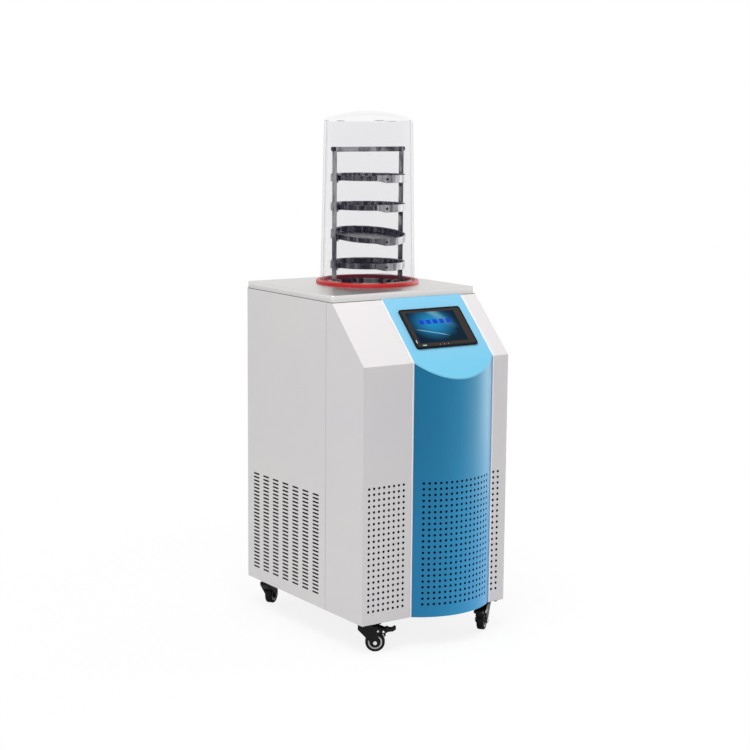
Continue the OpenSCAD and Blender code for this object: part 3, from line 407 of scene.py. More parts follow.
def display_glass():
    """Black glass over a lit picture. Across it u and up it v run from 0 to 1: a teal glow, one light beam
    and one thin sweep, a row of five blue tiles, and dark bars that grow to the right. Small marks stand on
    the border."""
    p = Paint("display_glass", (0.036, 0.029, 0.029), 0.22, Specular_IOR_Level=0.03, Emission_Strength=1.0)
    x, y, z = p.xyz()
    up = ((y - FRONT_Y) + (z - SLOPE_Z)) * math.sqrt(0.5)
    left, foot, wide, tall = -32 * MM, 53 * MM, 152 * MM, 98 * MM
    u, v = (x - left) / wide, (up - foot) / tall

    def between(value, low, high, soft=0.012):
        return p.step(value, low - soft, low + soft) * (1 - p.step(value, high - soft, high + soft))

    def fract(value):
        return p.math("FRACT", value)

    def mark(place_x, place_up, half_x, half_up):
        """A small rectangle on the plate. Its middle and its half sizes are in millimetres."""
        across = between(x, (place_x - half_x) * MM, (place_x + half_x) * MM, 0.4 * MM)
        return across * between(up, (place_up - half_up) * MM, (place_up + half_up) * MM, 0.4 * MM)

    def marks_at(places, half_x, half_up):
        every = mark(*places[0], half_x, half_up)
        for place in places[1:]:
            every = every.most(mark(*place, half_x, half_up))
        return every

    glow = 1 - p.step(((u - 0.46) ** 2 * 1.3 + (v - 0.62) ** 2) ** 0.5, 0.04, 0.64)
    colour = p.mix(glow, (0.0005, 0.012, 0.032), (0.012, 0.250, 0.530))
    beam = 1 - p.step(abs(u * 0.9 + v * 0.5 - 0.98), 0.0, 0.16)
    colour = p.mix(beam * p.step(v, 0.35, 1.0) * 0.55, colour, (0.20, 0.52, 0.60))
    sweep = 1 - p.step(abs(v + u * 0.42 - 0.48), 0.0, 0.022)
    colour = p.mix(sweep * between(u, 0.10, 0.62, 0.08) * 0.7, colour, (0.42, 0.72, 0.78))
    column = fract(u * 13.0)
    crest = (u - 0.52) * 0.9 + p.math("SINE", (u * 13.0 - column) * 2.4) * 0.10
    bars = between(column, 0.14, 0.86, 0.06) * p.step(crest - v, -0.01, 0.01) * p.step(u, 0.52, 0.56)
    colour = p.mix(bars * 0.85, colour, (0.001, 0.016, 0.022))
    tile = between(fract((u - 0.17) * 7.2), 0.16, 0.84, 0.05) * between(v, 0.60, 0.74, 0.012)
    colour = p.mix(tile * between(u, 0.17, 0.865, 0.004) * 0.9, colour, (0.004, 0.045, 0.62))
    lit = between(u, 0.0, 1.0, 0.006) * between(v, 0.0, 1.0, 0.008)
    marks = mark(-40, 59.5, 0.9, 5).most(marks_at(((113, 122.6), (116, 130.6), (110, 114.6)), 1, 1))
    faint = marks_at(((27, 46), (39.4, 46), (52.7, 46)), 1.6, 1)
    plate = p.mix(faint, (0.040, 0.032, 0.031), (0.30, 0.28, 0.27))
    plate = p.mix(mark(-21, 46.6, 6, 1.4), plate, (0.36, 0.66, 0.52))
    plate = p.mix(marks, plate, (0.85, 0.86, 0.86))
    p.set(**{"Base Color": p.mix(lit, plate, (0.002, 0.003, 0.004)),
             "Emission Color": p.mix(lit * (1 - marks), (0, 0, 0), colour)})
    return p.material


def seal_rubber():
    """Red silicone with a dusty bloom and a soft skin."""
    p = Paint("seal_red_silicone", (0.46, 0.006, 0.009), 0.26, Specular_IOR_Level=0.35)
    bloom = p.noise(60, 3, rough=0.6)
    p.set(**{"Base Color": p.shade(0.10, bloom)}, Roughness=bloom * 0.2 + 0.26)
    p.bump(p.noise(300, 2), 0.05, 0.0004)
    return p.material


def clear_acrylic():
    """Clear acrylic: a thin smoky veil to look through, with a line where the wall is seen edge on. Over the dome
    the veil is cut back as painted light, the shoulder shows as a broken thin line, and the foot as a pale painted
    highlight."""
    p = Paint("jar_clear_acrylic", (0.075, 0.070, 0.165), 0.04, IOR=1.49, Specular_IOR_Level=0.3)
    edge = p.facing()
    height = p.xyz()[2]
    low, high = span("bell_jar")
    shoulder, rim = float(high[2]) - 28 * MM, float(low[2]) + 6 * MM
    # dome: where the veil is cut back, painted light.
    dome = p.step(height, shoulder - 3 * MM, shoulder + 3 * MM)
    line = 1 - p.step(abs(height - (shoulder + 2 * MM)), 0.6 * MM, 1.6 * MM)
    line = line * p.step(p.noise(14, 2), 0.50, 0.60)
    # foot: a pale line painted as a highlight along the foot.
    foot = 1 - p.step(height, rim, rim + 2 * MM)
    foot = foot * p.step(p.noise(20, 2), 0.46, 0.56)
    veil = p.step(edge, 0.60, 0.76) * 0.062 + p.step(edge, 0.78, 0.94) * 0.30
    veil = veil + (p.noise(9, 2) * 0.01 + 0.054)
    p.set(**{"Base Color": p.mix(foot, p.color, (0.80, 0.80, 0.82))},
          Alpha=(veil * (1 - dome * 0.80) + line * 0.35).most(foot * 0.6))
    return p.material


def tray_steel(name, color, roughness, centre, dark=0.25, pace=1.0, metallic=1.0):
    """Spun steel round an upright axis: upright streaks of dark and bright on the walls, painted reflections that
    change with the bearing, and an even tone on the floors, well inside them."""
    p = Paint(name, color, roughness, Metallic=metallic)
    x, y, z = p.xyz((-centre[0], -centre[1], 0))
    turn = p.math("ARCTAN2", y, x)
    way = p.node("ShaderNodeCombineXYZ", None, {0: turn * (2.6 * pace), 1: z * 1.2, 2: 0.0})
    painted_streak = p.node("ShaderNodeTexNoise", None, {
        "Vector": way, "Scale": 2.2, "Detail": 3.0, "Roughness": 0.55})
    wall = p.step((x * x + y * y) ** 0.5, 80 * MM, 92 * MM)
    # Painted reflection: bright and dark streaks on the walls.
    bright = p.step(painted_streak, 0.40, 0.60) * wall + (1 - wall) * 0.45
    p.set(**{"Base Color": p.mix(bright, [c * dark for c in color], color)},
          Roughness=painted_streak * 0.25 + (roughness - 0.1))
    return p.material


def strip_steel():
    """Strip steel for the rack: a grain along the posts, over dark and light patches of painted shade and painted
    reflection.
    """
    p = Paint("rack_strip_steel", (0.42, 0.42, 0.43), 0.26, Metallic=1.0)
    grain = p.noise(4, 4, (220, 220, 6), 0.65)
    patch = p.noise(26, 3, (1, 1, 0.35), 0.6)
    p.set(**{"Base Color": p.mix(p.step(patch, 0.36, 0.60), (0.07, 0.07, 0.074), (0.36, 0.36, 0.37))},
          Roughness=grain * 0.16 + 0.18)
    p.bump(grain, 0.06, 0.0003)
    return p.material


COVER = cover_paint()
FASCIA = fascia_paint()
SEAL = seal_rubber()
RACK = strip_steel()
ACRYLIC = clear_acrylic()
DISPLAY = display_glass()


# ---------- surfaces ----------

def make_piece(name, points, faces, material, like, sharp=35, extra_faces=()):
    """One closed mesh from arrays: doubles merged at poles and seams, faces turned outwards."""
    mesh = bpy.data.meshes.new(name)
    mesh.from_pydata(points.reshape(-1, 3).tolist(), [], faces.tolist() + [list(f) for f in extra_faces])
    shell = bmesh.new()
    shell.from_mesh(mesh)
    bmesh.ops.remove_doubles(shell, verts=shell.verts, dist=1e-6)
    bmesh.ops.recalc_face_normals(shell, faces=shell.faces)
    shell.to_mesh(mesh)
    shell.free()
    return finish_piece(name, mesh, material, like, sharp)


def finish_piece(name, mesh, material, like, sharp):
    """Smooth shading with sharp folds, one material, and the body of a CAD node."""
    mesh.polygons.foreach_set("use_smooth", np.ones(len(mesh.polygons), bool))
    mesh.set_sharp_from_angle(angle=math.radians(sharp))
    mesh.materials.clear()
    mesh.materials.append(material)
    piece = bpy.data.objects.new(name, mesh)
    bpy.context.scene.collection.objects.link(piece)
    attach(piece, BODY[like])
    return piece


def grid_faces(rows, columns, wrap_rows, wrap_columns):
    """Quads between neighbouring rows and columns of a grid, joined up where it wraps."""
    i = np.arange(rows if wrap_rows else rows - 1)[:, None]
    j = np.arange(columns if wrap_columns else columns - 1)[None, :]
    down, over = (i + 1) % rows, (j + 1) % columns
    quads = [i * columns + j, down * columns + j, down * columns + over, i * columns + over]
    return np.stack(np.broadcast_arrays(*quads), -1).reshape(-1, 4)


def rounded_path(corners, radii, steps=6):
    """A closed flat path whose corners are arcs: each arc touches both legs, and swings evenly between."""
    corners = np.asarray(corners, float)
    out = []
    count = len(corners)
    for k, (corner, radius) in enumerate(zip(corners, radii)):
        if radius == 0:
            out.append(corner[None])
            continue
        back = corners[k - 1] - corner
        ahead = corners[(k + 1) % count] - corner
        back, ahead = back / np.linalg.norm(back), ahead / np.linalg.norm(ahead)
        half = math.acos(np.clip(back @ ahead, -1, 1)) / 2
        centre = corner + (back + ahead) / np.linalg.norm(back + ahead) * radius / math.sin(half)
        first = corner + back * radius / math.tan(half) - centre
        last = corner + ahead * radius / math.tan(half) - centre
        swing = math.pi - 2 * half
        t = np.linspace(0, 1, steps + 1)[:, None]
        out.append(centre + (np.sin((1 - t) * swing) * first + np.sin(t * swing) * last) / math.sin(swing))
    return np.concatenate(out)


def revolved(profile, centre, axis=(0, 0, 1), steps=128):
    """A profile of radius and height, turned full circle about an axis through a centre. Rows follow the
    profile."""
    axis = np.asarray(axis, float) / np.linalg.norm(axis)
    side = np.cross(axis, [0, 0, 1] if abs(axis[2]) < 0.9 else [0, 1, 0])
    side /= np.linalg.norm(side)
    other = np.cross(axis, side)
    angle = np.radians(np.linspace(0, 360, steps, endpoint=False))[:, None]
    spoke = np.cos(angle) * side + np.sin(angle) * other
    radius, height = profile[:, 0, None, None], profile[:, 1, None, None]
    return np.asarray(centre) + radius * spoke + height * axis


def ring_piece(name, profile, centre, material, like, axis=(0, 0, 1), steps=128, sharp=35):
    """A closed profile turned full circle."""
    points = revolved(profile, centre, axis, steps)
    faces = grid_faces(len(profile), steps, True, True)
    return make_piece(name, points, faces, material, like, sharp)


def break_edges(piece, width):
    """A small bevel on every fold sharper than forty degrees."""
    bevel = piece.modifiers.new("broken_edges", "BEVEL")
    bevel.width, bevel.segments, bevel.limit_method = width, 2, "ANGLE"
    bevel.angle_limit = math.radians(40)
    bevel.harden_normals = True


def softened(node, material, width, name=None):
    """A CAD node's own shape with its doubles merged and its edges broken by a small bevel."""
    mesh = NODES[node].data.copy()
    shell = bmesh.new()
    shell.from_mesh(mesh)
    bmesh.ops.remove_doubles(shell, verts=shell.verts, dist=2e-6)
    bmesh.ops.dissolve_limit(shell, angle_limit=0.002, verts=shell.verts, edges=shell.edges)
    shell.to_mesh(mesh)
    shell.free()
    piece = finish_piece(name or node + "_dressed", mesh, material, node, 35)
    break_edges(piece, width)
    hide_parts(node)


def dress(material, *nodes):
    """Gives CAD nodes their material."""
    for node in nodes:
        NODES[node].data.materials.clear()
        NODES[node].data.materials.append(material)


# ---------- cabinet ----------

dress(PANEL, "front_shell", "left_side_panel", "right_side_panel", "back_panel")
dress(INNER_SHADE_GREY, "base_pan", "chassis_frame")
dress(GASKET, "worktop_gasket")
dress(FOAM, "trap_insulation")
dress(COPPER, "evaporator_coil", "filter_drier")
dress(TUBE, "drain_tube")
dress(COMPRESSOR, "compressor")
dress(FINS_PAINTED_SHADE, "condenser")
dress(SHROUD_PAINTED_SHADE, "fan_shroud")
dress(FAN, "fan_rotor")
dress(SCREW, "panel_screws")
dress(KNOB, "rack_screws")
dress(ELECTRIC, "switch_body", "power_inlet", "pump_socket")
dress(ROCKER, "switch_rocker")
dress(PORT, "vacuum_port")
dress(BRASS, "drain_valve")
dress(LEVER, "drain_lever")
dress(CASTER, "caster_plates")
dress(TRIM, "cover_trims")
dress(BEZEL, "screen_bezel")
dress(COVER, "front_grille")
dress(FASCIA, "screen_fascia")
dress(WORKTOP, "worktop")
dress(SEAL, "seal_ring")
dress(ACRYLIC, "bell_jar")
for corner in CORNERS:
    dress(CASTER, "fork_" + corner)
    dress(AXLE, "axle_" + corner)
    dress(TYRE, "wheel_" + corner)
dress(PEDAL, "pedal_front_left", "pedal_front_right")

jar_low, jar_high = span("bell_jar")
CHAMBER = np.array([(jar_low[0] + jar_high[0]) / 2, (jar_low[1] + jar_high[1]) / 2, span("worktop")[1][2]])
RING = tray_steel("shelf_ring_steel", (0.50, 0.50, 0.51), 0.32, CHAMBER, 0.30)
# Trays darkened well below steel's own colour: painted shade.
TRAY = tray_steel("tray_steel_painted_shade", (0.17, 0.17, 0.175), 0.24, CHAMBER, 0.15, 1.6)
# Near white with near-black streaks: painted reflection on the trap's steel.
WELL = tray_steel("trap_spun_steel", (0.92, 0.92, 0.92), 0.20, CHAMBER, 0.05, 1.2, 0.12)
dress(RACK, "rack_frame")
dress(WELL, "trap_well", "trap_flange")
for k in range(1, 5):
    dress(RING, f"shelf_ring_{k}")
    dress(TRAY, f"tray_{k}")
dress(DISPLAY, "screen_glass")


# ---------- new surfaces ----------

def thickened(points, faces, shift):
    """A sheet and its copy moved by `shift`, joined by a strip of quads along every open edge."""
    points = np.asarray(points).reshape(-1, 3)
    edges = np.concatenate([faces[:, [0, 1]], faces[:, [1, 2]], faces[:, [2, 3]], faces[:, [3, 0]]])
    _, where, uses = np.unique(np.sort(edges, 1), axis=0, return_inverse=True, return_counts=True)
    rim = edges[uses[where.ravel()] == 1]
    count = len(points)
    strip = np.stack([rim[:, 1], rim[:, 0], rim[:, 0] + count, rim[:, 1] + count], 1)
    return np.concatenate([points, points + shift]), np.concatenate([faces, faces[:, ::-1] + count, strip])


def welded(points, faces):
    """Points that fall on each other become one."""
    _, first, again = np.unique(np.round(points, 7), axis=0, return_index=True, return_inverse=True)
    return points[first], again.ravel()[faces]


def build_cover():
    """The bowed cover. Across it u is the arc's length from the middle and up it v is the height. Round each
    perforation sixteen spokes run from the hole's edge to the edge of its square cell. The last step rolls
    the sheet: x = r sin(u / r), y = r cos(u / r) in front of the arc's centre. The top follows the slope, so
    its height falls by as much as the arc stands out."""
    base, half = COVER_LOW[2], COVER_R * COVER_HALF_ANGLE
    pitch, columns, rows, hole = HOLE_PITCH, 15, HOLE_ROWS, 3.45 * MM
    side, foot = columns * pitch / 2, LOWEST_ROW - pitch / 2
    head = foot + rows * pitch
    around = np.radians(np.arange(16) * 22.5 - 135)
    loop = np.array([(-2 + k, -2) for k in range(4)] + [(2, -2 + k) for k in range(4)]
                    + [(2 - k, 2) for k in range(4)] + [(-2, 2 - k) for k in range(4)]) * pitch / 4
    ring = np.stack([np.cos(around), np.sin(around)], 1)
    cell = np.stack([ring * hole, ring * hole * 1.25, loop])
    middle = np.stack(np.meshgrid((np.arange(columns) + 0.5) * pitch - side,
                                  (np.arange(rows) + 0.5) * pitch + foot, indexing="ij"), -1)
    middle = middle.reshape(-1, 1, 1, 2)
    flat = [(middle + cell).reshape(-1, 2)]
    quads = [(np.arange(columns * rows)[:, None, None] * 48
              + grid_faces(3, 16, False, True)[None]).reshape(-1, 4)]
    count = len(flat[0])
    rail_v = [np.linspace(0, foot, 4), np.arange(rows * 4 + 1) * pitch / 4 + foot, np.linspace(head, 1, 40)]
    rail_u = [np.linspace(-half, -side, 5), np.arange(columns * 4 + 1) * pitch / 4 - side,
              np.linspace(side, half, 5)]
    for a, us in enumerate(rail_u):
        for b, vs in enumerate(rail_v):
            if (a, b) != (1, 1):
                flat.append(np.stack(np.meshgrid(us, vs, indexing="ij"), -1).reshape(-1, 2))
                quads.append(grid_faces(len(us), len(vs), False, False) + count)
                count += len(flat[-1])
    flat, quads = np.concatenate(flat), np.concatenate(quads)
    u, v = flat[:, 0], flat[:, 1]
    x, y = COVER_X + COVER_R * np.sin(u / COVER_R), COVER_Y - COVER_R * np.cos(u / COVER_R)
    crest = SLOPE_Z - (FRONT_Y - y) - base
    above = v > head + 1e-9
    v = np.where(above, head + (crest - head) * (v - head) / (1 - head), v)
    points, quads = welded(np.stack([x, y, base + v], 1), quads)
    inward = np.stack([COVER_X - points[:, 0], COVER_Y - points[:, 1], 0 * points[:, 0]], 1)
    inward *= SHEET / np.linalg.norm(inward, axis=1)[:, None]
    points, quads = thickened(points, quads, inward)
    piece = make_piece("bowed_cover", points, quads, COVER, "front_grille", 40)
    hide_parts("front_grille")


def build_fascia():
    """The leaning plate. Across it x runs from edge to edge, and v runs up from the front arc, which is the
    cover's circle grown by a small overhang, to the top edge. Height follows depth one to one. The lower
    layer is the same plan straight below, so that the front edge stands upright."""
    x = np.linspace(COVER_LOW[0], COVER_HIGH[0], 73)[:, None]
    front = COVER_Y - np.sqrt((COVER_R + 0.8 * MM) ** 2 - (x - COVER_X) ** 2)
    v = np.linspace(0, 1, 24)[None, :]
    rise = 2.5 * MM * math.sqrt(2)
    y = front + (FRONT_Y + SLOPE_RUN - 0.8 * MM - front) * v
    z = SLOPE_Z + y - FRONT_Y + rise
    points = np.stack([x + 0 * y, y, z], -1)
    points, quads = thickened(points, grid_faces(73, 24, False, False), np.array([0, 0, -rise]))
    piece = make_piece("fascia_plate", points, quads, FASCIA, "screen_fascia")
    break_edges(piece, 0.7 * MM)
    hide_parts("screen_fascia")


def build_worktop():
    """A pan with a rolled edge and a round hole. Every row is a loop: a rounded rectangle, set in along its
    own normals by the profile's inset. Across the top the loop slides in a straight line to the circle at
    the same bearing. The rows go over the top, down the hole's edge, back underneath and down inside the
    skirt."""
    low, high = span("worktop")
    corner, roll, hole = 7 * MM, 2.2 * MM, 119.3 * MM
    swing = np.radians(np.linspace(0, 90, 9))
    along = np.linspace(0, 1, 28)[1:-1, None]
    inner = np.array([(high[0] - corner, high[1] - corner), (low[0] + corner, high[1] - corner),
                      (low[0] + corner, low[1] + corner), (high[0] - corner, low[1] + corner)])
    place, normal = [], []
    for k in range(4):
        turn = swing + k * math.pi / 2
        out = np.stack([np.cos(turn), np.sin(turn)], 1)
        place.append(inner[k] + corner * out)
        normal.append(out)
        there = inner[(k + 1) % 4] + corner * out[-1]
        place.append(place[-1][-1] + (there - place[-1][-1]) * along)
        normal.append(np.repeat(out[-1:], len(along), 0))
    place, normal = np.concatenate(place), np.concatenate(normal)
    height = high[2] - low[2]

    def loop(inset, z):
        return np.column_stack([place - inset * normal, np.full(len(place), low[2] + z)])

    def slide(share, z):
        start = place - corner * normal
        away = start - CHAMBER[:2]
        rim = CHAMBER[:2] + away * (hole / np.linalg.norm(away, axis=1))[:, None]
        return np.column_stack([start + (rim - start) * share, np.full(len(place), low[2] + z)])

    bend = np.radians(np.linspace(0, 90, 6))
    rows = [loop(SHEET, 0), loop(0.1 * MM, 0), loop(0, 0.3 * MM), loop(0, (height - roll) / 2)]
    rows += [loop(roll * (1 - math.cos(a)), height - roll + roll * math.sin(a)) for a in bend]
    rows += [slide(t, height) for t in np.linspace(0, 1, 9)]
    rows += [slide(t, height - SHEET) for t in np.linspace(1, 0, 4)]
    rows += [loop(SHEET + roll * (1 - math.cos(a)), height - SHEET - roll + roll * math.sin(a))
             for a in bend[::-1]]
    points = np.stack(rows)
    faces = grid_faces(len(rows), len(place), True, True)
    piece = make_piece("worktop_pan", points, faces, WORKTOP, "worktop", 40)
    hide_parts("worktop")


def jar_wall(inset, foot):
    """Radius and height of one side of the jar's wall: a straight side leaning in, an arc for the shoulder
    and a long arc for the dome, each touching the next. The inner side is the same with every arc less the
    wall."""
    foot_r, shoulder_r, tall, dome_rise, corner = 126.6, 118.0, 456.0, 20.0, 9.0
    lean = math.atan((foot_r - shoulder_r) / (tall - dome_rise))
    dome_r = (shoulder_r ** 2 + dome_rise ** 2) / (2 * dome_rise)
    dome_z, across = tall - dome_r, shoulder_r - corner
    up = dome_z + math.sqrt((dome_r - corner) ** 2 - across ** 2)
    meet = math.atan2(up - dome_z, across)
    a = np.linspace(lean, meet, 14)
    shoulder = np.stack([across + (corner - inset) * np.cos(a), up + (corner - inset) * np.sin(a)], 1)
    a = np.linspace(meet, math.pi / 2, 26)[1:]
    dome = np.stack([(dome_r - inset) * np.cos(a), dome_z + (dome_r - inset) * np.sin(a)], 1)
    dome[-1, 0] = 0
    side_z = np.linspace(foot, shoulder[0, 1], 18)[:-1]
    side = np.stack([shoulder[0, 0] + (shoulder[0, 1] - side_z) * math.tan(lean), side_z], 1)
    return np.concatenate([side, shoulder, dome]) * MM


def build_jar():
    """The wall's outer side, the inner side back down, and a foot with both edges broken, turned full
    circle."""
    outer, inner = jar_wall(0, 4.6), jar_wall(5.5, 4.6)
    lip = np.array([[outer[0, 0] - 0.6 * MM, 4 * MM], [inner[0, 0] + 0.6 * MM, 4 * MM]])
    profile = np.concatenate([lip[:1], outer, inner[::-1], lip[1:]])
    piece = ring_piece("jar_wall", profile, CHAMBER, ACRYLIC, "bell_jar", steps=160, sharp=50)
    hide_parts("bell_jar")


def build_seal():
    """A square ring with a rolled outer shoulder and the groove for the jar's foot, turned full circle."""
    profile = rounded_path(
        [(118, 0), (138, 0), (138, 9.5), (127, 9.5), (127, 4), (120.8, 4), (120.8, 9.5), (118, 9.5)],
        [0.4, 1.0, 4.0, 0.7, 0.3, 0.3, 0.7, 1.0]) * MM
    piece = ring_piece("seal_profile", profile, CHAMBER, SEAL, "seal_ring", steps=160)
    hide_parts("seal_ring")


def leaned(points, foot, k):
    """The third shelf is turned about the line between the posts by its lean. The others stay."""
    lean, turn = math.radians(6 if k == 3 else 0), math.radians(-4.4)
    level = np.array([[math.cos(turn), -math.sin(turn), 0], [math.sin(turn), math.cos(turn), 0], [0, 0, 1]])
    tip = np.array([[1, 0, 0], [0, math.cos(lean), -math.sin(lean)], [0, math.sin(lean), math.cos(lean)]])
    return foot + points @ (level @ tip @ level.T).T


def build_shelves():
    """Each ring is its band's closed section carried round from the free end. Near that end the lower edge
    climbs in a straight line and the ledge grows out of the band. Each tray is a turned dish with a flanged
    rim."""
    lows = {k: span(f"shelf_ring_{k}")[0][2] for k in (1, 2, 4)}
    lows[3] = (lows[2] + lows[4]) / 2
    band, wall, outer = 20.0, 1.5, 100.0
    angle = np.radians(249 + np.concatenate([np.linspace(0, 24, 25), np.linspace(24, 294, 108)[1:]]))
    travel = outer * (angle - angle[0])
    lift = np.maximum(0, 5.4 - 0.2 * travel)
    reach = 8.0 * np.clip((travel - 8) / 12, 0.02, 1)
    ledge = np.maximum(3.5, lift + 0.1)
    zero = 0 * angle
    section = [(outer + zero, lift + 0.4), (outer + zero, band - 0.4 + zero),
               (outer - 0.4 + zero, band + zero), (outer - wall + 0.4 + zero, band + zero),
               (outer - wall + zero, band - 0.4 + zero),
               (outer - wall + zero, ledge + 1.2), (outer - wall - reach, ledge + 1.2),
               (outer - wall - reach, ledge), (outer - wall + zero, ledge),
               (outer - wall + zero, lift + 0.05), (outer - 0.4 + zero, lift)]
    radius = np.stack([r for r, _ in section]) * MM
    height = np.stack([z for _, z in section]) * MM
    loop = np.stack([radius * np.cos(angle), radius * np.sin(angle), height], -1)
    rows, columns = radius.shape
    caps = [[i * columns for i in range(rows)], [i * columns + columns - 1 for i in reversed(range(rows))]]
    dish = [(0, 0), (95.5, 0), (95.5, 13.1), (96.7, 13.1), (96.7, 14), (94.7, 14), (94.7, 0.8), (0, 0.8)]
    dish = rounded_path(dish, [0, 2.2, 0.3, 0.4, 0.4, 0.8, 1.6, 0]) * MM
    for k in range(1, 5):
        foot = np.array([CHAMBER[0], CHAMBER[1], lows[k]])
        ring = make_piece(f"shelf_band_{k}", leaned(loop, foot, k), grid_faces(rows, columns, True, False),
                          RING, f"shelf_ring_{k}", 30, caps)
        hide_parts(f"shelf_ring_{k}")
        turned = revolved(dish + [0, 4.7 * MM], (0, 0, 0), steps=128)
        faces = grid_faces(len(dish), 128, True, True).reshape(len(dish), 128, 4)[:-1]
        tray = make_piece(f"tray_dish_{k}", leaned(turned, foot, k), faces.reshape(-1, 4), TRAY,
                          f"tray_{k}", 30)
        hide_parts(f"tray_{k}")


def pad(name, points, shift):
    """A black pad, painted shade behind openings: a grid of points, thickened along a shift."""
    points, quads = thickened(points, grid_faces(*points.shape[:2], False, False), np.array(shift))
    # The pieces keep the prefix filter_, though they are black pads of painted shade.
    make_piece("filter_" + name, points, quads, SHADE_PAD, "fan_shroud")


def build_shade_pads():
    """Black pads that stand in for the shade inside, a little larger than the fields of openings. The one behind
    the cover is rolled on the cover's own arc less a gap: x = r sin(swing), y = r cos(swing) in front of the arc's
    centre. The others
    are flat: behind each perforated strip of the front shell, and behind each field of slots."""
    gap, thick, thin = 3.5 * MM, 3 * MM, 1.2 * MM
    v = np.linspace(BASE_Z + 22 * MM, BASE_Z + 364 * MM, 5)[None, :]
    swing = np.linspace(-1, 1, 33)[:, None] * (COVER_HALF_ANGLE - 0.03)
    inner = COVER_R - gap
    pad("cover", np.stack([COVER_X + inner * np.sin(swing) + 0 * v, COVER_Y - inner * np.cos(swing) + 0 * v,
                           v + 0 * swing], -1), [0, thick, 0])
    for name, left, right in (("left", 14 * MM - SIDE_X, COVER_LOW[0] - 8 * MM),
                              ("right", COVER_HIGH[0] + 8 * MM, SIDE_X - 6 * MM)):
        x = np.linspace(left, right, 3)[:, None]
        pad("front_" + name, np.stack([x + 0 * v, FRONT_Y + gap + 0 * x * v, v + 0 * x], -1), [0, thick, 0])
    y = np.linspace(FRONT_Y + 196 * MM, FRONT_Y + 540 * MM, 3)[:, None]
    v = np.linspace(BASE_Z + 27 * MM, BASE_Z + 308 * MM, 3)[None, :]
    for name, x, inward in (("left", 3 * MM - SIDE_X, thin), ("right", SIDE_X - 3 * MM, -thin)):
        pad("side_" + name, np.stack([x + 0 * y * v, y + 0 * v, v + 0 * y], -1), [inward, 0, 0])
    x = np.linspace(-187 * MM, 17 * MM, 3)[:, None]
    v = np.linspace(BASE_Z + 250 * MM, BASE_Z + 380 * MM, 3)[None, :]
    pad("back", np.stack([x + 0 * v, BACK_Y - 3 * MM + 0 * x * v, v + 0 * x], -1), [0, -thin, 0])


def build_wheels():
    """Tyre, hub and face ring are profiles of radius and width turned about the axle. The pale face ring is a
    painted highlight on the wheel's rim.
    """
    wheel = [(3.05, -10.5), (7, -10.5), (8, -9.8), (8, -8), (18.5, -8), (18.5, -10), (25, -10),
             (25, 10), (18.5, 10), (18.5, 8), (8, 8), (8, 9.8), (7, 10.5), (3.05, 10.5)]
    bends = [0.2, 0.5, 0.3, 0.6, 0.6, 0.8, 3.6, 3.6, 0.8, 0.6, 0.6, 0.3, 0.5, 0.2]
    tyre = rounded_path(wheel, bends) * MM
    for corner in CORNERS:
        roll = JOINT["roll_" + corner]
        centre, axis = np.array(roll["pos_m"]), np.array(roll["axis"])
        piece = ring_piece("tyre_" + corner, tyre, centre, TYRE, "wheel_" + corner, axis, 72)
        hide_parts("wheel_" + corner)
        # Each face gets a pale ring, a painted highlight on the rim.
        for side in (-1, 1):
            face = rounded_path([(14.2, 7.9), (17.9, 7.9), (17.9, 9.4), (14.2, 9.4)], [0, 0, 0.6, 0.6]) * MM
            ring_piece(f"rim_highlight_ring_{corner}_{'outer' if side > 0 else 'inner'}", face, centre, WHEEL_RIM_HIGHLIGHT,
                       "wheel_" + corner, axis * side, 64)


def build_rivets():
    """Low domes on both cheeks of each front fork: a quarter circle, flattened, turned about the pin."""
    a = np.linspace(0, math.pi / 2, 7)
    dome = np.stack([3.0 * np.cos(a), 1.3 * np.sin(a)], 1)
    dome[-1, 0] = 0
    profile = (np.concatenate([[(0, -1.0), (3.0, -1.0)], dome]) + [0, 15.0]) * MM
    for corner in ("front_left", "front_right"):
        brake, roll = JOINT["brake_" + corner], JOINT["roll_" + corner]
        axis = np.array(brake["axis"])
        swivel = np.array(JOINT["swivel_" + corner]["pos_m"])
        trail = np.array(roll["pos_m"]) - swivel
        trail[2] = 0
        trail /= np.linalg.norm(trail)
        pin = np.array(brake["pos_m"])
        spots = {"pin": pin, "spring": pin - trail * 14 * MM + np.array([0, 0, 1 * MM])}
        for name, spot in spots.items():
            for side in (-1, 1):
                points = revolved(profile, spot, axis * side, 28)
                faces = grid_faces(len(profile), 28, False, True)
                make_piece(f"rivet_{name}_{corner}_{'left' if side > 0 else 'right'}", points, faces, AXLE,
                           "fork_" + corner, 50)


build_cover()
build_fascia()
build_worktop()
build_jar()
build_seal()
build_shelves()
build_shade_pads()
build_wheels()
build_rivets()
softened("screen_bezel", BEZEL, 1.3 * MM, "bezel_frame")
softened("cover_trims", TRIM, 0.8 * MM, "trim_strips")
softened("rack_screws", KNOB, 0.6 * MM, "rack_knobs")
softened("rack_frame", RACK, 0.4 * MM, "rack_strips")
for corner in CORNERS:
    softened("fork_" + corner, CASTER, 0.5 * MM)
    softened("axle_" + corner, AXLE, 0.6 * MM)
for corner in ("front_left", "front_right"):
    softened("pedal_" + corner, PEDAL, 1.0 * MM)


# ---------- light and floor ----------

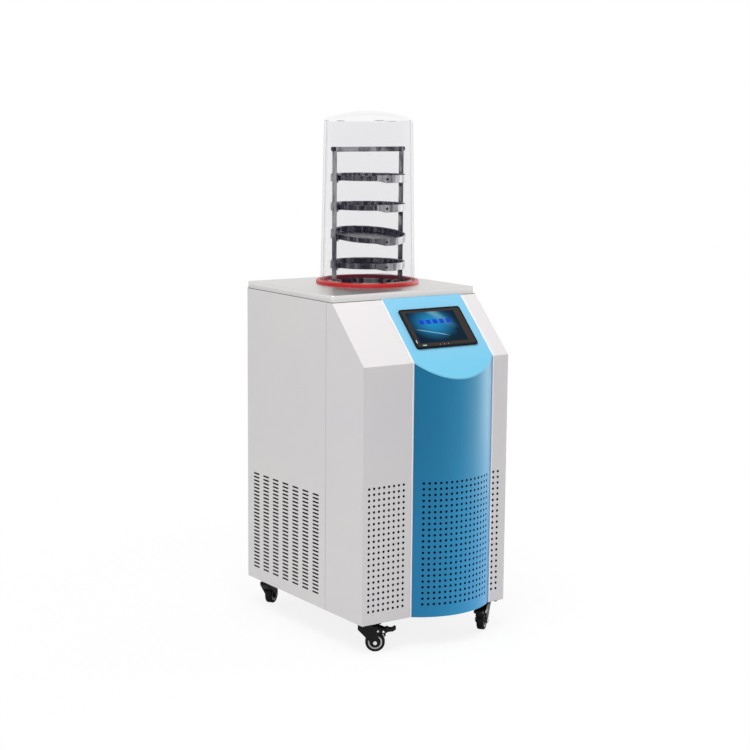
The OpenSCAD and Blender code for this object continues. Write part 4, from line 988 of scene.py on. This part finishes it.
def hang_lamp(name, way, distance, size, power):
    """A square lamp that faces the middle of the cabinet from one direction, unseen by the camera."""
    way = np.array(way) / np.linalg.norm(way)
    lamp = bpy.data.lights.new(name, "AREA")
    lamp.shape, lamp.size, lamp.energy = "SQUARE", size, power
    holder = bpy.data.objects.new(name, lamp)
    holder.visible_camera = False
    side = np.cross([0, 0, 1], way)
    side /= np.linalg.norm(side)
    place = np.eye(4)
    place[:3, 0], place[:3, 1], place[:3, 2] = side, np.cross(way, side), way
    place[:3, 3] = np.array([0.0, 0.0, 0.7]) + way * distance
    holder.matrix_world = Matrix(place.tolist())
    bpy.context.scene.collection.objects.link(holder)


def light_scene():
    """A pale sky that looks white and lights at half of that, one broad lamp over the front and one to the
    right, and a pale floor that glows white away from the object and keeps its shadow close to it."""
    sky = 0.50
    world = bpy.data.worlds.new("studio")
    bpy.context.scene.world = world
    world.use_nodes = True
    nodes = Nodes(world.node_tree)
    nodes.fill(world.node_tree.nodes["Background"], {
        "Color": (1, 1, 1), "Strength": nodes.rays("Camera", "Transmission", "Glossy") * (1 - sky) + sky})
    hang_lamp("key", (-0.36, -0.29, 1.04), 3.4, 2.4, 97)
    hang_lamp("side", (1.0, 0.04, 0.08), 2.9, 2.8, 50)

    half = 9.0
    mesh = bpy.data.meshes.new("floor")
    mesh.from_pydata([(-half, -half, 0), (half, -half, 0), (half, half, 0), (-half, half, 0)], [],
                     [(0, 1, 2, 3)])
    floor = bpy.data.objects.new("floor", mesh)
    bpy.context.scene.collection.objects.link(floor)
    p = Paint("pale_floor", (0.9, 0.9, 0.9), 0.9)
    away = p.node("ShaderNodeVectorMath", {"operation": "LENGTH"}, {0: p.coords()}, out="Value")
    glow = (p.step(away, 0.35, 1.5) * 0.14 + 0.86) * p.rays("Camera", "Transmission")
    surface = p.node("ShaderNodeMixShader", None, {
        0: glow, 1: Val(p, p.shader.outputs[0]), 2: p.node("ShaderNodeEmission")})
    p.fill(p.tree.nodes["Material Output"], {"Surface": surface})
    mesh.materials.append(p.material)


light_scene()
bpy.context.scene.view_settings.view_transform = "Standard"
